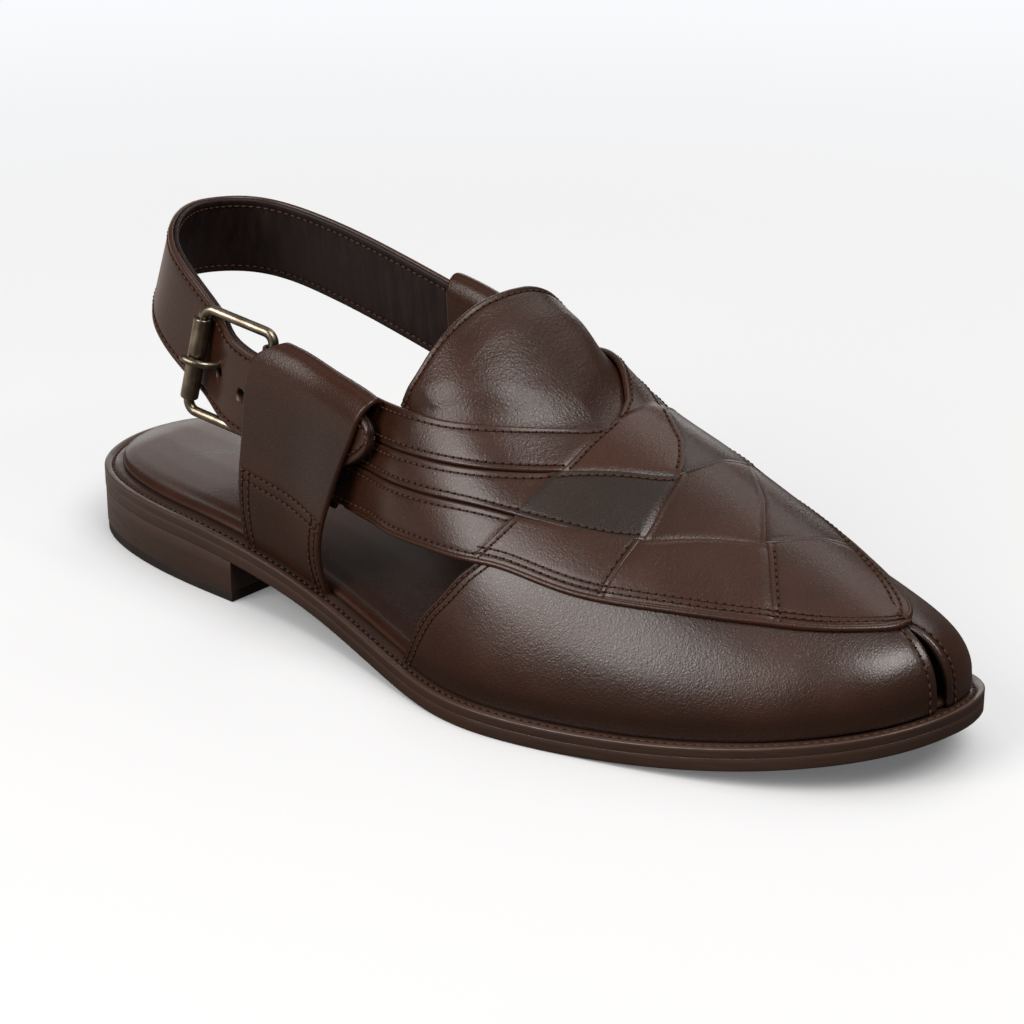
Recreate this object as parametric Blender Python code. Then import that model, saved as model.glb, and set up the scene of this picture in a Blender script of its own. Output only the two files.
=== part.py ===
"""Peshawari chappal, right shoe: each solid is one named piece of the shoe.

All lengths are in millimetres until add() stores them in metres. The shape is worked out in shoe
coordinates: s runs from the heel (0) to the toe (about 303), q is lateral (+) or medial (-) of the
heel's centre line, z is up. add() turns them into the world frame: toe to -Y, lateral side to -X.
"""
import bpy
import numpy as np

# ---- driving dimensions -------------------------------------------------------------------
CENTRE_S, CENTRE_Q = 152.3, 5.0      # shoe coordinates of the origin: the middle of the outsole's box
SOLE = 3.4                           # outsole thickness
WELT = 2.8                           # welt and midsole thickness
GAP = 0.3                            # between pieces that lie on each other
STACK = 6.5                          # outsole + gap + welt
HEEL_RISE, TOE_SPRING = 14.0, 12.4   # of the sole's top above the ball, at the seat and at the toe
BALL_FLAT = (185.0, 212.0)           # stations between which the outsole lies flat on the floor
SEAT_END = 60.0                      # the heel seat is level behind this station
BREAST = 86.0                        # front face of the heel
LIFT = 3.0                           # rubber top lift of the heel
MARGIN = 5.0                         # from the sole's edge to the last's feather line
TOE_SPLIT_Q = -2.0                   # where the toe slit meets the welt
FAN_FROM, FAN_TO = 262.0, 300.0      # last stations: ahead of the first the sections fan round the toe
WALL = 1.9                           # vamp leather
STRIP, STRIP_LIFT = 1.7, 0.5         # woven strip leather, and its height above the last
WEAVE_STEP = 1.0                     # how far an upper strip stands above a lower one
SLIT = 0.5                           # between neighbouring strips
STRAP_WIDTH, STRAP = 25.2, 3.0       # heel strap
TIP = 22.0                           # length of the strap's pointed tip
TAB = 1.8                            # tab leather
STACK_IN_TAB = 5.6                   # from the strap's middle to the middle of the tab's inner layer
FOLD = 4.1                           # height of the arc in which a tab folds over the strap
BUCKLE_CENTRE = (82.6, 34.9, 67.8)   # s, q, z
BUCKLE_YAW, BUCKLE_PITCH, BUCKLE_LEAN = 13.0, 12.0, 3.0   # roller end out, roller end up, top inwards
BUCKLE_LONG, BUCKLE_HIGH = 23.6, 31.4    # between the middles of its bars
WIRE = 1.5                           # radius of the buckle's bars

# the outsole's edge, heel, lateral side, toe, medial side: station s, offset q
EDGE = [(2, -1), (5, 12), (14, 25), (35, 35.5), (75, 41), (115, 43), (155, 51.5), (190, 58), (222, 52),
        (252, 42.5), (279, 29.5), (296, 14), (302.5, -4), (300, -19), (283, -33), (252, -41), (222, -47),
        (190, -46.5), (155, -38), (115, -31.5), (75, -31), (35, -33.5), (12, -26.5), (3.5, -14)]
# the last's ridge: station, height
RIDGE = [(85, 108), (110, 112), (130, 109.6), (150, 102.2), (170, 87.2), (190, 71.2), (210, 62.8),
         (230, 55.2), (248, 48.8), (261, 44.2), (273, 39.8), (285, 35.6)]
# the edges of the three lateral strips, from the tab forward: station, w (0 middle, 1 lateral feather)
LINES = [[(130, .52), (141, .505), (152, .475), (164, .41), (173, .323), (181, .22), (189, .10), (194, 0),
          (194.3, -.11), (194.3, -.23), (193, -.31), (191, -.44), (186, -.59)],
         [(130, .62), (142, .605), (164.5, .524), (181, .39), (195, .24), (207, .12), (217, 0), (220, -.14),
          (221.7, -.25), (221.5, -.40), (221, -.545)],
         [(130, .69), (142, .678), (167.5, .595), (186, .476), (202, .403), (212, .366), (222, .298),
          (233, .164), (246, 0), (254, -.156), (261, -.335)],
         [(130, .775), (144, .772), (156, .756), (166.5, .722), (176, .681), (184, .64), (191, .605),
          (202, .582), (212.5, .569), (221, .544), (237.5, .469), (249.5, .406), (261, .335), (271, .276),
          (282.5, .197), (292, .10), (298, -.015)]]
# the heel strap's middle line, from its tip in the lateral tab round the heel: s, q, z, lean in degrees
STRAP_PATH = [(142, 40.2, 64, 12), (128, 38.8, 62.2, 11), (114, 37.2, 61.8, 7), (102, 37.2, 62.5, 5),
              (92, 37.2, 64, 4), (83, 36.1, 66.7, 4), (75, 33.6, 70.4, 5), (66, 31.9, 75.2, 7),
              (49, 27, 84.5, 12), (35.5, 12.5, 89, 16), (30, -5, 88.5, 17), (36, -19.5, 87, 14),
              (58, -27.5, 83, 8), (85, -30, 76.8, 6), (110, -31.4, 70.3, 5), (132, -31.6, 65.2, 5)]
# the tabs' tops, over the strap: station, height of the fold's straight sides
LATERAL_TOP = [(88, 76), (97, 77.2), (105, 77.4), (111, 76.4), (120, 74.4), (130, 71.9), (138, 69.9), (144, 68)]
MEDIAL_TOP = [(99, 82), (108, 83.2), (116, 82.4), (131, 78.8), (144, 75), (155, 72)]


# ---- curves ---------------------------------------------------------------------------------
def spline(xs, ys):
    """Natural cubic spline through the stations, held at its end values beyond them."""
    xs, ys = np.asarray(xs, float), np.asarray(ys, float)
    n, h = len(xs), np.diff(xs)
    a, b = np.eye(n), np.zeros(ys.shape)
    for i in range(1, n - 1):
        a[i, i - 1:i + 2] = h[i - 1], 2 * (h[i - 1] + h[i]), h[i]
        b[i] = 6 * ((ys[i + 1] - ys[i]) / h[i] - (ys[i] - ys[i - 1]) / h[i - 1])
    m = np.linalg.solve(a, b)

    def at(x):
        x = np.clip(np.asarray(x, float), xs[0], xs[-1])
        i = np.clip(np.searchsorted(xs, x) - 1, 0, n - 2)
        t, r, k = x - xs[i], xs[i + 1] - x, h[i]
        if ys.ndim > 1:
            t, r, k = t[..., None], r[..., None], k[..., None]
        return ((m[i] * r ** 3 + m[i + 1] * t ** 3) / (6 * k)
                + (ys[i] / k - m[i] * k / 6) * r + (ys[i + 1] / k - m[i + 1] * k / 6) * t)
    return at


def along(points):
    """Distance along a polyline, starting at 0."""
    return np.r_[0, np.cumsum(np.linalg.norm(np.diff(points, axis=0), axis=1))]


def smooth(x):
    x = np.clip(x, 0, 1)
    return x * x * (3 - 2 * x)


def outline(inset, n=720):
    """The sole's edge as a closed ring of (s, q), moved inwards."""
    ring = np.array(EDGE * 3 + EDGE[:1], float)
    d, k = along(ring), len(EDGE)
    f = spline(d, ring)
    t = np.linspace(d[k], d[2 * k], n + 1)[:-1]
    tangent = f(t + .01) - f(t - .01)
    tangent /= np.linalg.norm(tangent, axis=1)[:, None]
    return f(t) + inset * np.stack([tangent[:, 1], -tangent[:, 0]], -1)


def sole_top(s):
    """Height of the welt's top: level seat, arch down to the ball, toe spring."""
    s = np.asarray(s, float)
    arch = smooth((BALL_FLAT[0] - s) / (BALL_FLAT[0] - SEAT_END))
    spring = np.clip((s - BALL_FLAT[1]) / (302 - BALL_FLAT[1]), 0, 1) ** 1.9
    return STACK + HEEL_RISE * arch + TOE_SPRING * spring


# ---- the last -------------------------------------------------------------------------------
def feather_sides():
    """The two halves of the feather line as functions of the last station v."""
    ring = outline(MARGIN, 1440)
    front = np.where(ring[:, 0] > 280)[0]
    ring = np.roll(ring, -front[np.argmin(np.abs(ring[front, 1] - TOE_SPLIT_Q))], 0)
    back = np.argmin(ring[:, 0])
    sides = []
    for side in (ring[:back + 1], np.vstack([ring[back:], ring[:1]])[::-1]):
        d, tip = along(side), np.argmax(side[:, 0])
        fan = np.interp(FAN_FROM, side[tip:, 0][::-1], d[tip:][::-1])

        def at(v, side=side, d=d, tip=tip, fan=fan):
            behind = np.interp(np.minimum(v, FAN_FROM), side[tip:, 0][::-1], d[tip:][::-1])
            x = np.where(v > FAN_FROM, fan * (FAN_TO - v) / (FAN_TO - FAN_FROM), behind)
            return np.interp(x, d, side[:, 0]), np.interp(x, d, side[:, 1])
        sides.append(at)
    return sides if sides[0](np.array(200.))[1] > 0 else sides[::-1]


lateral_feather, medial_feather = feather_sides()
ridge_height = spline(*zip(*RIDGE))
ridge_q = spline([85, 130, 190, 250, 265, 300], [-1, -3, -8, -9, -8, TOE_SPLIT_Q])
roundness = spline([85, 135, 160, 200, 260, 300], [2.0, 2.05, 2.2, 2.15, 2.1, 2.2])
middle_u = spline([140, 217, 247, 270, 285, 300], [.12, .12, .16, .15, .08, 0])


def bulge(v, u):
    """How far the medial side overhangs the narrow waist behind the ball."""
    return np.where(u < 0, -4.5 * smooth((165 - v) / 45), 0)


def last_uv(v, u):
    """Point of the last: u is 1 on the lateral feather line, 0 on the ridge, -1 on the medial one."""
    v, u = np.broadcast_arrays(np.asarray(v, float), np.asarray(u, float))
    g = np.clip((v - FAN_FROM) / (FAN_TO - FAN_FROM), 0, 1)
    ridge_s = np.minimum(v, FAN_FROM) + (FAN_TO - FAN_FROM) * g - 15 * g * g
    (ls, lq), (ms, mq) = lateral_feather(v), medial_feather(v)
    fs, fq = np.where(u >= 0, ls, ms), np.where(u >= 0, lq, mq)
    base = sole_top(fs + 2.2 * smooth((fs - 262) / 30)) + GAP
    t, power = (1 - np.abs(u)) * np.pi / 2, 2 / roundness(v)
    c, h = np.clip(np.cos(t), 0, 1) ** power, np.clip(np.sin(t), 0, 1) ** power
    q = ridge_q(v) + (fq - ridge_q(v)) * c + bulge(v, u) * np.sin(2 * t)
    return np.stack([ridge_s + (fs - ridge_s) * c, q, base + (ridge_height(ridge_s) - base) * h], -1)


def last_normal(v, u):
    va, ua, ub = np.minimum(v + .3, FAN_TO - .02), np.minimum(u + .003, 1), np.maximum(u - .003, -1)
    n = np.cross(last_uv(va, u) - last_uv(va - .6, u), last_uv(v, ua) - last_uv(v, ub))
    return n / np.maximum(np.linalg.norm(n, axis=-1, keepdims=True), 1e-12)


def on_last(v, w, off):
    """Point off the last: w is 0 on the shoe's middle line and +-1 on the feather lines."""
    v, w, off = np.broadcast_arrays(np.asarray(v, float), np.asarray(w, float), np.asarray(off, float))
    c = middle_u(v)
    u = np.where(w >= 0, c + w * (1 - c), c + w * (1 + c))
    return last_uv(v, u) + last_normal(v, u) * off[..., None]


def on_side(v, z, off, side):
    """Point off the last's side at a height."""
    base = sole_top(v) + GAP
    f = np.clip((z - base) / (ridge_height(v) - base), 0, .95) ** (roundness(v) / 2)
    u = side * (1 - 2 * np.arcsin(f) / np.pi)
    return last_uv(v, u) + last_normal(v, u) * off[..., None]


# ---- solids ---------------------------------------------------------------------------------
def material(name, colour, rough, metal=0.0):
    m = bpy.data.materials.new(name)
    m.use_nodes = True
    shader = m.node_tree.nodes["Principled BSDF"]
    shader.inputs["Base Color"].default_value = (*colour, 1)
    shader.inputs["Roughness"].default_value = rough
    shader.inputs["Metallic"].default_value = metal
    return m


def add(name, points, faces, mat, helper=False):
    """An object from points in shoe millimetres, its faces turned outwards."""
    p = np.asarray(points, float).reshape(-1, 3)
    world = np.stack([CENTRE_Q - p[:, 1], CENTRE_S - p[:, 0], p[:, 2]], -1) * .001
    fans = [(f[0], f[i], f[i + 1]) for f in faces for i in range(1, len(f) - 1)]
    tri = world[np.array(fans)]
    volume = np.einsum("ij,ij->i", tri[:, 0], np.cross(tri[:, 1], tri[:, 2])).sum()
    if volume < 0:
        faces = [f[::-1] for f in faces]
    mesh = bpy.data.meshes.new(name)
    mesh.from_pydata(world.tolist(), [], faces)
    mesh.materials.append(mat)
    obj = bpy.data.objects.new(name, mesh)
    bpy.context.collection.objects.link(obj)
    if helper:
        obj.hide_render, obj.display_type = True, "WIRE"
    return obj


def grid_solid(name, a, b, mat, helper=False, loop=False):
    """A solid between two facing grids of points. loop joins the first row to the last."""
    a, b = np.asarray(a), np.asarray(b)
    n, m = a.shape[:2]
    A = lambda i, j: (i % n) * m + j
    B = lambda i, j: n * m + (i % n) * m + j
    faces, rows = [], n if loop else n - 1
    for i in range(rows):
        for j in range(m - 1):
            faces.append((A(i, j), A(i + 1, j), A(i + 1, j + 1), A(i, j + 1)))
            faces.append((B(i, j), B(i, j + 1), B(i + 1, j + 1), B(i + 1, j)))
        faces.append((A(i, 0), B(i, 0), B(i + 1, 0), A(i + 1, 0)))
        faces.append((A(i, m - 1), A(i + 1, m - 1), B(i + 1, m - 1), B(i, m - 1)))
    if not loop:
        for j in range(m - 1):
            faces.append((A(0, j), A(0, j + 1), B(0, j + 1), B(0, j)))
            faces.append((A(n - 1, j), B(n - 1, j), B(n - 1, j + 1), A(n - 1, j + 1)))
    return add(name, np.concatenate([a.reshape(-1, 3), b.reshape(-1, 3)]), faces, mat, helper)


def boolean(obj, other, operation, solver="EXACT"):
    mod = obj.modifiers.new(operation.lower(), "BOOLEAN")
    mod.operation, mod.solver, mod.object = operation, solver, other


def stations(inset, first, last, n):
    """Stations bunched towards the rounded ends, with the edge's q on both sides of each."""
    ring = outline(inset, 1440)
    lo, hi = ring[:, 0].min() + .03, ring[:, 0].max() - .03
    first, last = max(first, lo), min(last, hi)
    t = np.linspace(0, 1, n)
    if first > lo:
        t = np.sin(t * np.pi / 2)
    elif last < hi:
        t = 1 - np.cos(t * np.pi / 2)
    else:
        t = (1 - np.cos(t * np.pi)) / 2
    s = first + (last - first) * t
    toe, heel = np.argmax(ring[:, 0]), np.argmin(ring[:, 0])
    ring = np.roll(ring, -heel, 0)
    k = (toe - heel) % len(ring)
    one, two = ring[:k + 1], np.vstack([ring[k:], ring[:1]])[::-1]
    lat, med = (one, two) if one[:, 1].mean() > two[:, 1].mean() else (two, one)
    return s, np.interp(s, lat[:, 0], lat[:, 1]), np.interp(s, med[:, 0], med[:, 1])


def plate(name, inset, first, last, top, bottom, mat, n=56, taper=0.0):
    """A flat-across layer of the sole."""
    s, lat, med = stations(inset, first, last, n)
    s2, lat2, med2 = stations(inset + taper, first, last, n)
    upper = np.stack([np.stack([s, lat, top(s)], -1), np.stack([s, med, top(s)], -1)], 1)
    lower = np.stack([np.stack([s2, lat2, bottom(s2)], -1), np.stack([s2, med2, bottom(s2)], -1)], 1)
    return grid_solid(name, upper, lower, mat)


def thicken(mid, half):
    """Two grids half a thickness to each side of a grid of middle points."""
    n = np.cross(np.gradient(mid, axis=0), np.gradient(mid, axis=1))
    n /= np.linalg.norm(n, axis=-1, keepdims=True)
    return mid + n * half, mid - n * half


def tube(name, path, radius, mat, sides=10, closed=False, hollow=None):
    """A round bar along a path of points."""
    path = np.asarray(path, float)
    if closed:
        tangent = np.roll(path, -1, 0) - np.roll(path, 1, 0)
    else:
        tangent = np.gradient(path, axis=0)
    tangent /= np.linalg.norm(tangent, axis=1)[:, None]
    side = np.cross(tangent, bar_normal)
    side /= np.linalg.norm(side, axis=1)[:, None]
    up = np.cross(side, tangent)
    angle = np.linspace(0, 2 * np.pi, sides + 1)[:-1]
    ring = lambda r: (path[:, None] + r * (np.cos(angle)[None, :, None] * side[:, None]
                                           + np.sin(angle)[None, :, None] * up[:, None]))
    n = len(path)
    if hollow:
        return grid_solid(name, ring(radius).transpose(1, 0, 2), ring(hollow).transpose(1, 0, 2), mat,
                          loop=True)
    faces = [(i * sides + j, i * sides + (j + 1) % sides, (i + 1) % n * sides + (j + 1) % sides,
              (i + 1) % n * sides + j) for i in range(n if closed else n - 1) for j in range(sides)]
    if not closed:
        faces += [tuple(range(sides))[::-1], tuple(range((n - 1) * sides, n * sides))]
    return add(name, ring(radius), faces, mat)


for stale in list(bpy.data.objects):
    bpy.data.objects.remove(stale)

leather = material("brown_leather", (.075, .036, .024), .38)
lining = material("dark_lining", (.035, .02, .016), .6)
sole_leather = material("sole_leather", (.06, .032, .022), .5)
rubber = material("black_rubber", (.02, .016, .014), .8)
bronze = material("antique_bronze", (.16, .13, .10), .38, 1.0)

# ---- sole: leather outsole, welt layer, stacked heel and its rubber lift ----------------------
plate("outsole", 0.0, 0, 400, lambda s: sole_top(s) - STACK + SOLE, lambda s: sole_top(s) - STACK,
      sole_leather, 56)
plate("welt", 0.0, 0, 400, sole_top, lambda s: sole_top(s) - WELT, sole_leather, 56)
plate("heel_block", 0.4, 0, BREAST, lambda s: sole_top(s) - STACK - GAP, lambda s: 0 * s + LIFT + GAP,
      sole_leather, 32, 0.5)
plate("heel_lift", 0.9, 0, BREAST - .2, lambda s: 0 * s + LIFT, lambda s: 0 * s, rubber, 32, 0.2)

# ---- insole: padded footbed with a rolled edge, highest in the middle of the heel --------------
s, lat, med = stations(MARGIN + .6, 0, 400, 30)
across = np.array([0, .035, .12, .3, .5, .7, .88, .965, 1])
rise = np.interp(np.abs(across - .5), [0, .12, .28, .40, .465, .5], [3.6, 3.6, 3.3, 2.9, 2.3, 1.2])
ends = np.clip(np.minimum(s - s[0], s[-1] - s) / 9, 0, 1) ** .5
q = lat[:, None] + (med - lat)[:, None] * across
z = sole_top(s)[:, None] + GAP + 1.2 + (rise - 1.2) * ends[:, None]
ss = s[:, None] + 0 * q
grid_solid("insole", np.stack([ss, q, z], -1), np.stack([ss, q, sole_top(ss) + GAP], -1), leather)

# ---- upper: two vamp panels, and three strips from each side woven over the instep ---------------
low_line = spline(*np.array(LINES[3])[:, :2].T)


def vamp(name, side, helper):
    """From the feather line up to 4 mm under the weave, and from the open waist to the toe slit."""
    na, nb = 26, 8
    a = np.linspace(0, 1, na) ** .9
    b = np.linspace(0, 1, nb)
    bottom = np.stack([161.5 + (298.4 - 161.5) * a, np.ones(na)], -1)
    top_v = 188 + (298.4 - 188) * a
    top = np.stack([top_v, np.maximum(low_line(top_v) - .05, .05)], -1)
    rear = spline([0, .1, .3, .5, .7, .85, 1],
                  [(161.5, 1), (164.5, .965), (171, .87), (177, .79), (182, .70), (185.5, .64), top[0]])(b)
    straight = bottom[0] + (top[0] - bottom[0]) * b[:, None]
    vw = (bottom[:, None] * (1 - b)[None, :, None] + top[:, None] * b[None, :, None]
          + (1 - a)[:, None, None] ** 3 * (rear - straight)[None])
    v, w = vw[..., 0], vw[..., 1] * side
    return grid_solid(name, on_last(v, w, 0), on_last(v, w, WALL), leather, helper)


def crossing(edge, line):
    """Place along a strip's edge, counted in its points, at which it crosses a line of the other side."""
    other = np.array(line, float) * [1, -1]
    other = np.vstack([other, other[-1] + .5 * (other[-1] - other[-2])])
    for k, (p, q) in enumerate(zip(edge[:-1], edge[1:])):
        for start, end in zip(other[:-1], other[1:]):
            m = np.array([q - p, start - end]).T
            if abs(np.linalg.det(m)) > 1e-12:
                along_edge, along_line = np.linalg.solve(m, start - p)
                if 0 <= along_edge <= 1 and 0 <= along_line <= 1:
                    return k + along_edge
    return None


def strip_lift(v):
    """Height of a strip's inner face: it tucks in where it goes behind the tab."""
    return STRIP_LIFT - 2.6 * (1 - smooth((v - 136) / 20))


def medial_drop(v):
    """Behind the instep the medial strips run lower than the lateral ones, to reach their tab."""
    return .085 * smooth((190 - v) / 44)


def strip(name, i, side, helper):
    """Strip i of one side: its rows follow the other side's edges, so that it steps over and under them."""
    columns, levels = [], []
    for line, way in ((LINES[i], 1), (LINES[i + 1], -1)):
        c = np.array(line, float)
        d = along(c * [1, 60])
        edge = spline(d, c)(np.linspace(0, d[-1], 161))
        at = [crossing(edge, LINES[j]) for j in range(3)]
        at = [x for x in at if x is not None] + [160]
        step = .5 * 160 / d[-1]
        stops, level = [np.linspace(0, at[0] - step, 13)], [np.full(13, .5)]
        for j, (start, end) in enumerate(zip(at[:-1], at[1:])):
            last_cell = end - (0 if end == 160 else step)
            stops.append(np.linspace(start + step, last_cell, 6))
            level.append(np.full(6, 1.0 if (i + j) % 2 == (1 if side > 0 else 0) else 0.0))
        k = np.concatenate(stops)
        points = np.stack([np.interp(k, np.arange(161), edge[:, n]) for n in (0, 1)], -1)
        if side < 0:
            points[:, 1] += medial_drop(points[:, 0])
        woven = np.clip((k - at[0]) / (6 * step), 0, 1)
        points[:, 1] += way * SLIT / 130 * (1 - 2 * woven)
        columns.append(points)
        levels.append(np.concatenate(level))
    b = np.linspace(0, 1, 5)[None, :, None]
    vw = columns[0][:, None] * (1 - b) + columns[1][:, None] * b
    v, w = vw[..., 0], vw[..., 1]
    low = strip_lift(v) + WEAVE_STEP * levels[0][:, None]
    return grid_solid(name, on_last(v, w * side, low), on_last(v, w * side, low + STRIP), leather, helper)


upper = vamp("upper", 1, False)
leathers = [vamp("vamp_med", -1, True)]
for i in (2, 1, 0):
    leathers += [strip(f"strip_lat_{i + 1}", i, 1, True), strip(f"strip_med_{i + 1}", i, -1, True)]
for leather_piece in leathers:      # EXACT loses pieces where the strips' thin steps meet
    boolean(upper, leather_piece, "UNION", "MANIFOLD")

# ---- tongue: a rounded flap lying on the instep, its foot under the crossing strips ---------------
a = np.linspace(-1, 1, 17)
w = .5 * a
free_edge = spline([-1, -.75, -.5, -.2, 0, .2, .4, .6, .8, .95, 1],
                   [148, 155.5, 157.8, 156.7, 154.9, 153.5, 152.1, 150.4, 148.5, 145.6, 144.5])
rear_v = free_edge(a)
w = np.where(w < 0, w * 1.16, w)
cover = np.interp(np.abs(w), [0, .10, .22, .323, .41, .475, .505], [194, 189, 181, 173, 164, 152, 141])
cover = np.where(w < 0, cover + 9 * np.abs(a) ** 3, cover)
b = np.linspace(0, 1, 9)[None]
v = rear_v[:, None] + (cover + 9 - rear_v)[:, None] * b
w = w[:, None] + 0 * v
free = smooth((cover[:, None] - 1 - v) / 12)
outer = strip_lift(v) - .4 + 1.4 * free
grid_solid("tongue", on_last(v, w, outer), on_last(v, w, outer - 2.0), leather)

# ---- heel strap: from its pointed tip in the lateral tab, round the heel, into the medial tab -----
path = np.array(STRAP_PATH, float)
d = along(path[:, :3])
strap_at = spline(d, path)


def strap_frame(t):
    """Middle point, direction of travel, direction across the strap (up) and outward normal."""
    c, ahead = strap_at(t)[..., :3], strap_at(t + .5)[..., :3] - strap_at(t - .5)[..., :3]
    plan = ahead[..., :2] / np.linalg.norm(ahead[..., :2], axis=-1, keepdims=True)
    inward = np.stack([-plan[..., 1], plan[..., 0]], -1)
    lean = np.radians(strap_at(t)[..., 3:])
    up = np.concatenate([inward * np.sin(lean), np.cos(lean)], -1)
    ahead = ahead / np.linalg.norm(ahead, axis=-1, keepdims=True)
    up = up - (up * ahead).sum(-1, keepdims=True) * ahead
    up /= np.linalg.norm(up, axis=-1, keepdims=True)
    out = np.cross(ahead, up)
    return c, ahead, up, out * np.sign((out[..., :2] * -inward).sum(-1, keepdims=True))


t = np.r_[np.linspace(0, TIP, 9), np.linspace(TIP + 5, d[-1], 40)]
width = STRAP_WIDTH * (.12 + .88 * np.sqrt(np.clip(t / TIP, 0, 1))) / 2
c, ahead, up, out = strap_frame(t)
rows = np.linspace(-1, 1, 3)
mid = c[:, None] + up[:, None] * (width[:, None] * rows)[..., None]
strap = grid_solid("heel_strap", mid + out[:, None] * STRAP / 2, mid - out[:, None] * STRAP / 2, leather)


# ---- tabs: each comes up from the welt outside the strap, folds over it and ends inside it ----------
def strap_q(s, z, side):
    """The strap's middle surface at a station and height, inside a tab."""
    run = np.array([p for p in STRAP_PATH if p[1] * side > 0 and p[0] > 60])
    q, mid_z, lean = (np.interp(s, *zip(*sorted(zip(run[:, 0], run[:, k])))) for k in (1, 2, 3))
    return q - side * (z - mid_z) * np.tan(np.radians(lean))


def tab(name, side, top, shift):
    """Rows go up the outer layer, over the fold and down the inner layer; shift moves it forwards."""
    fold = spline(*zip(*top))
    front_edge = spline([12, 25, 34, 44, 54, 63, 70, 75, 80], [125, 126, 128, 131, 134, 137.2, 139.5, 142, 143])
    rear_edge = spline([12, 26, 43, 58, 69, 75, 79, 83], [88.5, 90, 91.7, 92.9, 93.5, 94.7, 97, 100])
    a = np.linspace(0, 1, 8)
    outside = [("up", f) for f in (0, .12, .25, .38, .5, .62, .74, .87, 1)]
    arc = [("fold", angle) for angle in (25, 50, 75, 100, 125, 150)]
    inside = [("down", depth) for depth in (0, 8, 17, 26, 33)]
    rows = []
    for kind, value in outside + arc + inside:
        guess = np.linspace(88, 128, 8) + shift
        for _ in range(5):
            foot, crease = sole_top(guess) + 2 * GAP, fold(guess)
            if kind == "up":
                z = foot + value * (crease - foot)
            elif kind == "fold":
                z = crease + FOLD * np.sin(np.radians(value))
            else:
                z = crease - value
            rear, front = rear_edge(z) + shift, front_edge(z) + shift
            if kind != "up":       # the inner layer is cut back, clear of the buckle's pivot bar
                back = 1 if kind == "down" else smooth((value - 20) / 60)
                rear = rear + ((103.5 if side > 0 else 97) + shift - rear) * back
                front = front - back * ((2 if side > 0 else 12) + (value * .2 if kind == "down" else 0))
            guess = rear + (front - rear) * a
        outer_q = strap_q(guess, z, side) + side * (STRAP / 2 + GAP + TAB / 2)
        last_q = on_side(guess, z, 0 * z, side)[..., 1]
        near = smooth((guess - shift - 110) / 14)
        inner_q = ((strap_q(guess, z, side) - side * STACK_IN_TAB) * (1 - near)
                   + (last_q - side * 4.0) * near)
        if kind == "up":
            rise = np.clip((z - foot) / (46 - foot), 0, 1)
            low = lateral_feather(guess)[1] if side > 0 else medial_feather(guess)[1]
            q = low + side * 1.1 + (outer_q - low - side * 1.1) * np.sin(rise * np.pi / 2)
        elif kind == "fold":
            half = np.cos(np.radians(value))
            q = (outer_q + inner_q) / 2 + (outer_q - inner_q) / 2 * half
        else:
            q = inner_q
        rows.append(np.stack([guess, q, z], -1))
    return grid_solid(name, *thicken(np.array(rows), TAB / 2), leather)


tab("tab_lateral", 1, LATERAL_TOP, 0)
tab("tab_medial", -1, MEDIAL_TOP, 13.5)

# ---- buckle: the roller lies on the strap, the pivot bar inside it, and the prong comes through -----
yaw, pitch = np.radians((BUCKLE_YAW, BUCKLE_PITCH))
e1 = np.array([-np.cos(yaw) * np.cos(pitch), np.sin(yaw) * np.cos(pitch), np.sin(pitch)])
e3 = np.cross(e1, (0, 0, 1))
e3 = e3 / np.linalg.norm(e3) * np.sign(e3[1])
e2 = np.cross(e3, e1) * np.sign(np.cross(e3, e1)[2])
lean = np.radians(BUCKLE_LEAN)
e2, e3 = e2 * np.cos(lean) - e3 * np.sin(lean), e3 * np.cos(lean) + e2 * np.sin(lean)
bar_normal = e3
HALF_LONG, HALF_HIGH, CORNER = BUCKLE_LONG / 2, BUCKLE_HIGH / 2, 3.2


def local(points):
    """Points in the buckle's own frame: x towards the roller, y up the bars, z out from the foot."""
    p = np.asarray(points, float)
    return np.array(BUCKLE_CENTRE) + p[:, :1] * e1 + p[:, 1:2] * e2 + p[:, 2:3] * e3


loop = []
for cx, cy, start in ((1, 1, 90), (1, -1, 0), (-1, -1, -90), (-1, 1, -180)):
    for angle in np.radians(np.linspace(start, start - 90, 5)):
        loop.append((cx * (HALF_LONG - CORNER) + CORNER * np.cos(angle),
                     cy * (HALF_HIGH - CORNER) + CORNER * np.sin(angle), 0))
tube("buckle_frame", local(loop), WIRE, bronze, closed=True)
reach = HALF_HIGH - CORNER - .1
tube("buckle_roller", local([(HALF_LONG, y, 0) for y in (-reach, 0, reach)]), 2.6, bronze, 16,
     hollow=WIRE + .35)
eye = np.radians(np.linspace(128, 262, 7))
eye_radius = WIRE + 1.25
prong = np.vstack([
    np.stack([-HALF_LONG + eye_radius * np.cos(eye), 0 * eye, eye_radius * np.sin(eye)], -1),
    spline([0, 1, 2, 3, 4, 5, 6, 7], [(-9, 0, -2.9), (-5, 0, -3.1), (-1.5, 0, -3.6), (2.2, 0, -3.0),
                                      (5.2, 0, -.2), (7.8, 0, 2.8), (11.4, 0, 3.9), (15, 0, 3.3)]
           )(np.linspace(0, 7, 15))])
tube("buckle_prong", local(prong), .9, bronze, 8)


def box_cutter(name, x0, x1, half_y, z0, z1):
    corners = [(x, y, z) for z in (z0, z1) for x, y in ((x0, -half_y), (x1, -half_y), (x1, half_y), (x0, half_y))]
    faces = [(0, 3, 2, 1), (4, 5, 6, 7), (0, 1, 5, 4), (1, 2, 6, 5), (2, 3, 7, 6), (3, 0, 4, 7)]
    return add(name, local(corners), faces, lining, True)


boolean(strap, box_cutter("prong_hole", 1.5, 7.4, 1.6, -6, 4), "DIFFERENCE")

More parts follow.
